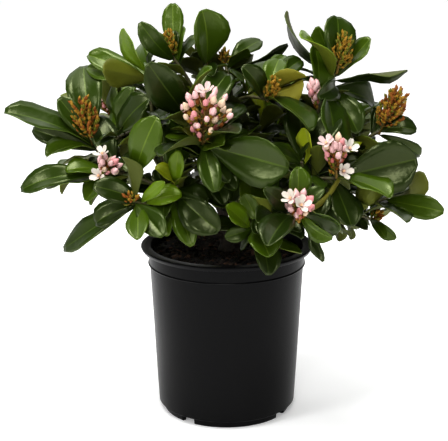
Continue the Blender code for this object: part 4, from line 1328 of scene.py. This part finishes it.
# %% Petal modelled once
PETAL_ROWS = 4
start_clean()
bpy.ops.mesh.primitive_grid_add(x_subdivisions=3, y_subdivisions=PETAL_ROWS, size=1.0,
                                location=(0, 0.5, 0))
petal_model = bpy.context.object
bpy.ops.object.transform_apply(location=True, rotation=False, scale=False)
bpy.ops.object.mode_set(mode="EDIT")
for row, wide in enumerate((0.16, 0.32, 0.52, 0.58, 0.30)):
    level = row / PETAL_ROWS
    pick(petal_model, lambda p: abs(p.y - level) < 0.01)
    bpy.ops.transform.resize(value=(wide, 1, 1), center_override=(0, level, 0))
pick(petal_model, lambda p: abs(p.x) > 0.12)
bpy.ops.transform.translate(value=(0, 0, 0.07))
pick(petal_model, lambda p: p.y > 0.6)
bpy.ops.transform.translate(value=(0, 0, 0.05))
bpy.ops.object.mode_set(mode="OBJECT")
petal_points = np.array([v.co[:] for v in petal_model.data.vertices])
petal_faces = [tuple(p.vertices) for p in petal_model.data.polygons]
petal_foot = [p.center.y < 0.25 for p in petal_model.data.polygons]
bpy.data.objects.remove(petal_model)


# %% Copies on a head
def frame_on(way, roll):
    """Three square directions as a matrix whose last column is the way a copy points."""
    way = Vector(way).normalized()
    side = way.orthogonal().normalized()
    other = way.cross(side)
    side, other = (side * math.cos(roll) + other * math.sin(roll),
                   other * math.cos(roll) - side * math.sin(roll))
    return np.array(Matrix((side, other, way)).transposed())


class Heap:
    """Points, faces and finishes of many copies that become one mesh."""

    def __init__(self):
        self.points, self.faces, self.looks = [], [], []

    def put(self, points, faces, looks):
        first = len(self.points)
        self.points.extend(points)
        self.faces.extend(tuple(i + first for i in face) for face in faces)
        self.looks.extend(looks)


LOW_BUDS = (0, 0, 1, 2)
HIGH_BUDS = (1, 2, 2, 2, 3)
BRACTS = (4, 4, 5, 5, 6)
PALE_BRACTS = (5, 5, 5, 6, 6)
CUPS = (7, 7, 8)
CALYX = (4, 4, 5, 6)
FOOT_BRACTS = 14
PLUMP = np.array([0.33, 0.33, 0.60])
SLENDER = np.array([0.27, 0.27, 0.62])
bud_finishes = [
    finish("rose bud", (0.48, 0.135, 0.120), 0.45),
    finish("pink bud", (0.60, 0.250, 0.255), 0.45),
    finish("pale pink bud", (0.66, 0.41, 0.40), 0.45),
    finish("cream bud", (0.62, 0.46, 0.33), 0.45),
    finish("rust bract", (0.20, 0.065, 0.008), 0.6),
    finish("ochre bract", (0.27, 0.150, 0.014), 0.6),
    finish("green bract", (0.130, 0.130, 0.010), 0.6),
    finish("brown cup", (0.15, 0.055, 0.012), 0.6),
    finish("olive cup", (0.20, 0.16, 0.018), 0.6),
]
for look in bud_finishes[4:]:
    look.node_tree.nodes["Principled BSDF"].inputs["Specular IOR Level"].default_value = 0.2
petal_finishes = [
    finish("white petal", (0.54, 0.50, 0.44), 0.5),
    finish("blush petal", (0.53, 0.41, 0.39), 0.5),
    finish("stamen", (0.72, 0.48, 0.30), 0.5),
]
buds, petals, stalks = Heap(), Heap(), []


def put_bud(at, way, size, form, looks, draw):
    """One bud with its cup, or one slender bract, pointing its own way."""
    turned = (bud_points * form * size) @ frame_on(way, draw.uniform(0, 6)).T
    look, foot = draw.choice(looks), draw.choice(CUPS)
    buds.put(turned + np.array(at), bud_faces, [foot if cup else look for cup in bud_cup])


def put_flower(at, way, radius, draw):
    """Five petals round a short tuft of stamens."""
    turn = draw.uniform(0, math.tau)
    square = frame_on(way, turn)
    look = 0 if draw.random() < 0.60 else 1
    for k in range(5):
        spin = np.array(Matrix.Rotation(math.tau * k / 5, 3, "Z"))
        tip = np.array(Matrix.Rotation(draw.uniform(0.35, 0.95), 3, "X"))
        shape = (petal_points * np.array([1.05, 1.0, 1.0]) * radius) @ tip.T + np.array([0, 0.08 * radius, 0])
        petals.put(shape @ spin.T @ square.T + np.array(at), petal_faces,
                   [1 if foot else look for foot in petal_foot])
    for k in range(6):
        lean = math.tau * k / 6
        out = Vector((math.cos(lean) * 0.35, math.sin(lean) * 0.35, 1.0))
        tuft = (bud_points * np.array([0.07, 0.07, 0.20]) * radius) @ frame_on(out, 0).T
        tuft = tuft + np.array(out.normalized()) * radius * 0.18
        petals.put(tuft @ square.T + np.array(at), bud_faces, [2] * len(bud_faces))


def square_to(way):
    """Two directions square to a way and to each other."""
    side = way.orthogonal().normalized()
    return side, way.cross(side)


# %% Heads of brown bracts
BRACT_SPACING = 1.5 * MM
BRANCHLET_SPACING = 2.0 * MM


def put_bracts(line, size, looks, draw):
    """Bracts set all round a branchlet, each leaning outwards and on."""
    count = max(2, int((line[-1] - line[0]).length / BRACT_SPACING))
    turn = draw.uniform(0, math.tau)
    for k in range(count + 1):
        at, out = along(line, 0.18 + 0.82 * k / count)
        side, other = square_to(out)
        turn += GOLDEN
        lean = out + (side * math.cos(turn) + other * math.sin(turn)) * draw.uniform(0.2, 0.6)
        put_bud(at + lean * size * 0.3, lean, size * draw.uniform(0.8, 1.1), SLENDER, looks, draw)


def put_plume(tip, foot, way, height, spread, looks, draw):
    """A pointed head still in bract: rising branchlets round an upright axis."""
    side, other = square_to(way)
    axis = [foot + way * height * share for share in (0.0, 0.5, 0.88)]
    stalks.append(([tip] + axis, [1.3 * MM, 1.2 * MM, 0.8 * MM, 0.4 * MM]))
    put_bracts([axis[1], axis[2]], 5.0 * MM, looks, draw)
    turn = draw.uniform(0, math.tau)
    count = max(4, int(height / BRANCHLET_SPACING))
    for k in range(count):
        share = k / count
        turn += GOLDEN
        level = side * math.cos(turn) + other * math.sin(turn)
        reach = spread / 2 * (0.95 - 0.45 * share) * draw.uniform(0.8, 1.0)
        root = foot + way * height * (0.12 + 0.56 * share)
        end = root + level * reach + way * height * (0.28 - 0.06 * share)
        line = bent_line(root, root + level * reach * 0.7 + way * height * 0.05, end, 3)
        stalks.append((line, tapered(0.5 * MM, 0.3 * MM, len(line))))
        put_bracts(line, 5.0 * MM, looks, draw)


# %% Heads of pink buds
HEAD_SET = {"top_right": (0, -9, 0), "left": (0, -3, 0), "right": (0, -3, 0),
            "low_front": (-4, -2, -5), "front_right": (-3, 0, 3)}
HEAD_WIDTH = {"low_front": 0.86, "front_right": 0.86}
BUD_SHARE = 0.46
BARE_STALK = 0.26
LONG_STALK = {"front_right": 0.48}


def put_cluster(tip, foot, way, height, spread, bare, draw):
    """A domed head: stalks part low down, small deep buds below and pale plump ones above."""
    side, other = square_to(way)
    stalks.append(([tip, foot, foot + way * height * 0.40, foot + way * height * 0.75],
                   [1.4 * MM, 1.3 * MM, 1.0 * MM, 0.6 * MM]))
    total = int((height + spread) / MM * BUD_SHARE)
    turn = draw.uniform(0, math.tau)
    for k in range(total):
        share = (k + 0.5) / total
        turn += GOLDEN
        if share < 0.35 and draw.random() < 0.45:
            continue
        tall = bare + (0.98 - bare) * share
        dome = math.sin(math.pi * (0.10 + 0.80 * share ** 1.7)) ** 0.8
        wide = dome * spread / 2 * draw.uniform(0.45, 1.0)
        at = foot + way * height * tall + (side * math.cos(turn) + other * math.sin(turn)) * wide
        root = foot + way * height * max(0.0, tall - 0.36)
        size = (6.8 + 3.2 * share) * draw.uniform(0.85, 1.1) * MM
        out = ((at - root).normalized() + way * 0.5).normalized()
        looks = LOW_BUDS if share < 0.35 else HIGH_BUDS
        put_bud(at - out * size * 0.5, out, size, PLUMP, looks, draw)
        put_bud(at - out * size * 1.25, out, size * 0.8, SLENDER, CALYX, draw)
        stalks.append(([root, at - out * size], [0.6 * MM, 0.45 * MM]))
    for k in range(FOOT_BRACTS):
        turn += GOLDEN
        level = side * math.cos(turn) + other * math.sin(turn)
        at = foot + way * height * draw.uniform(0.10, 0.50) + level * spread * draw.uniform(0.03, 0.16)
        put_bud(at, way + level * 0.6, draw.uniform(3.5, 5.0) * MM, SLENDER, CALYX, draw)


# %% Open flowers on a head
OPEN_AT = {
    "front": ((0.02, 0.80),),
    "front_right": ((-0.50, 0.62), (0.55, 0.40), (0.30, -0.72)),
    "low_front": ((-0.42, 0.45), (0.02, 0.20)),
    "left": ((-0.25, 0.75), (-0.45, -0.55)),
}


def put_flowers(name, heart, way, spread, opened, draw):
    """Flowers across and up from the heart of the head as the plant has them, or on the dome."""
    places = OPEN_AT.get(name)
    if not places:
        places = [(draw.uniform(-0.6, 0.6), draw.uniform(0.1, 0.7)) for k in range(opened)]
    for across, up in places:
        near = math.sqrt(max(0.0, 1.0 - across * across - up * up))
        at = heart + Vector((across, -near, up)) * (spread / 2 + 1 * MM)
        aim = Vector((across, -0.7, max(0.35, up + 0.45))).normalized()
        if at.z < REACH_Z[1] - 6 * MM:
            put_flower(at, aim, draw.uniform(8.0, 9.5) * MM, draw)
            stalks.append(([heart - way * spread * 0.3, at], [0.6 * MM, 0.45 * MM]))


for name, grown in crown.items():
    in_bloom = {number for number, shape in grown["blossom"]}
    for number, line, row in grown["shoots"]:
        if number not in in_bloom:
            continue
        kind, height, spread, lean, opened = row[2]
        draw = random.Random("head %s %d" % (name, number))
        way = head_way(line, lean)
        tip = line[-1] - way * (2.5 * MM)
        foot = tip + Vector(HEAD_SET.get(name, (0, 0, 0))) * MM
        height, spread = height * MM, spread * MM * HEAD_WIDTH.get(name, 1.0)
        if kind == "flowers":
            put_cluster(tip, foot, way, height, spread, LONG_STALK.get(name, BARE_STALK), draw)
            put_flowers(name, foot + way * (height * 0.55), way, spread, opened, draw)
        else:
            looks = PALE_BRACTS if name in ("top_left", "top", "top_right") else BRACTS
            put_plume(tip, foot, way, height, spread, looks, draw)

shoot_tips = {name: grown["shoots"][0][1][-1] for name, grown in crown.items() if grown["shoots"]}
young_line = bent_line(shoot_tips["low_front"], Vector((84, -102, 226)) * MM,
                       shoot_tips["front_right"], 5)
young_stem = stems("young_stem", [(young_line, [r * MM for r in (1.6, 2.1, 2.5, 2.5, 2.2, 1.7)])], 8, 4)
only(young_stem)
bpy.ops.object.shade_smooth()
green_stem_look = finish("olive green stem", (0.11, 0.105, 0.008), 0.6)
green_stem_look.node_tree.nodes["Principled BSDF"].inputs["Specular IOR Level"].default_value = 0.2
young_stem.data.materials.append(green_stem_look)
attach(young_stem, "root")
put_bracts(young_line[:3], 4.5 * MM, (4,), random.Random("young stem"))

bud_piece = joined("flower_buds", buds.points, buds.faces, buds.looks, bud_finishes, smooth=True)
petal_piece = joined("petals", petals.points, petals.faces, petals.looks, petal_finishes, smooth=True)
stalk_piece = stems("flower_stalks", stalks, 4, 1)
only(stalk_piece)
bpy.ops.object.shade_smooth()
stalk_piece.data.materials.append(finish("olive brown stalk", (0.22, 0.135, 0.026), 0.6))
for piece in (bud_piece, petal_piece, stalk_piece):
    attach(piece, "root")
print("bud faces", len(buds.faces), "petal faces", len(petals.faces))

# %% [markdown]
# ## Studio
# The plant stands on a plain white floor that glows evenly, under soft lights from above, the front,
# the left and the right and a wide soft sun from behind, in a room white low down and dark overhead.

# %% Floor
start_clean()
bpy.ops.mesh.primitive_plane_add(size=40.0, location=(0, 0, 0))
floor = bpy.context.object
floor.name = "floor"
floor_look = finish("white floor", (0.92, 0.92, 0.92), 0.9)
floor_look.node_tree.nodes["Principled BSDF"].inputs["Emission Color"].default_value = (1, 1, 1, 1)
floor_look.node_tree.nodes["Principled BSDF"].inputs["Emission Strength"].default_value = 0.28
floor.data.materials.append(floor_look)

# %% Lights
def soft_light(name, place, aim, size, power):
    """A square soft light that looks at a point."""
    lamp = bpy.data.lights.new(name, "AREA")
    lamp.size = size
    lamp.energy = power
    holder = bpy.data.objects.new(name, lamp)
    holder.location = place
    holder.rotation_euler = (Vector(aim) - Vector(place)).to_track_quat("-Z", "Y").to_euler()
    bpy.context.scene.collection.objects.link(holder)


soft_light("top", (-0.30, -0.25, 1.40), (0, 0, 0.25), 0.56, 18.0)
soft_light("front", (-0.05, -1.20, 1.15), (0, 0, 0.25), 0.38, 8.0)
soft_light("left", (-1.3, -0.9, 0.9), (0, 0, 0.25), 0.42, 11.0)
soft_light("right", (1.2, -1.1, 0.8), (0, 0, 0.25), 0.36, 6.0)
sky = bpy.data.lights.new("wide soft light", "SUN")
sky.angle = math.radians(80)
sky.energy = 2.4
holder = bpy.data.objects.new("wide soft light", sky)
holder.rotation_euler = Vector((0.14, -0.55, -1.0)).to_track_quat("-Z", "Y").to_euler()
bpy.context.scene.collection.objects.link(holder)

# %% White room, darker overhead
world = bpy.data.worlds.new("white room")
world.use_nodes = True
tree = world.node_tree
aim = tree.nodes.new("ShaderNodeTexCoord")
part = tree.nodes.new("ShaderNodeSeparateXYZ")
ramp = tree.nodes.new("ShaderNodeValToRGB")
ramp.color_ramp.elements[0].position = 0.10
ramp.color_ramp.elements[0].color = (1, 1, 1, 1)
ramp.color_ramp.elements[1].position = 0.35
ramp.color_ramp.elements[1].color = (0.05, 0.05, 0.05, 1)
tree.links.new(aim.outputs["Generated"], part.inputs["Vector"])
tree.links.new(part.outputs["Z"], ramp.inputs["Fac"])
tree.links.new(ramp.outputs["Color"], tree.nodes["Background"].inputs["Color"])
bpy.context.scene.world = world
bpy.context.scene.view_settings.view_transform = "Standard"
bpy.context.scene.view_settings.gamma = 0.88

# %% Camera
ELEVATION = math.radians(14.25)
DISTANCE = 1.2
lens = bpy.data.cameras.new("camera")
lens.sensor_width = 36.0
lens.lens = 36.0 * 1255 / 448
lens.shift_x = -0.0060
lens.shift_y = -0.0290
camera = bpy.data.objects.new("camera", lens)
camera.location = (0, -DISTANCE * math.cos(ELEVATION), 0.2 + DISTANCE * math.sin(ELEVATION))
camera.rotation_euler = (math.radians(90) - ELEVATION, 0, 0)
bpy.context.scene.collection.objects.link(camera)
bpy.context.scene.camera = camera
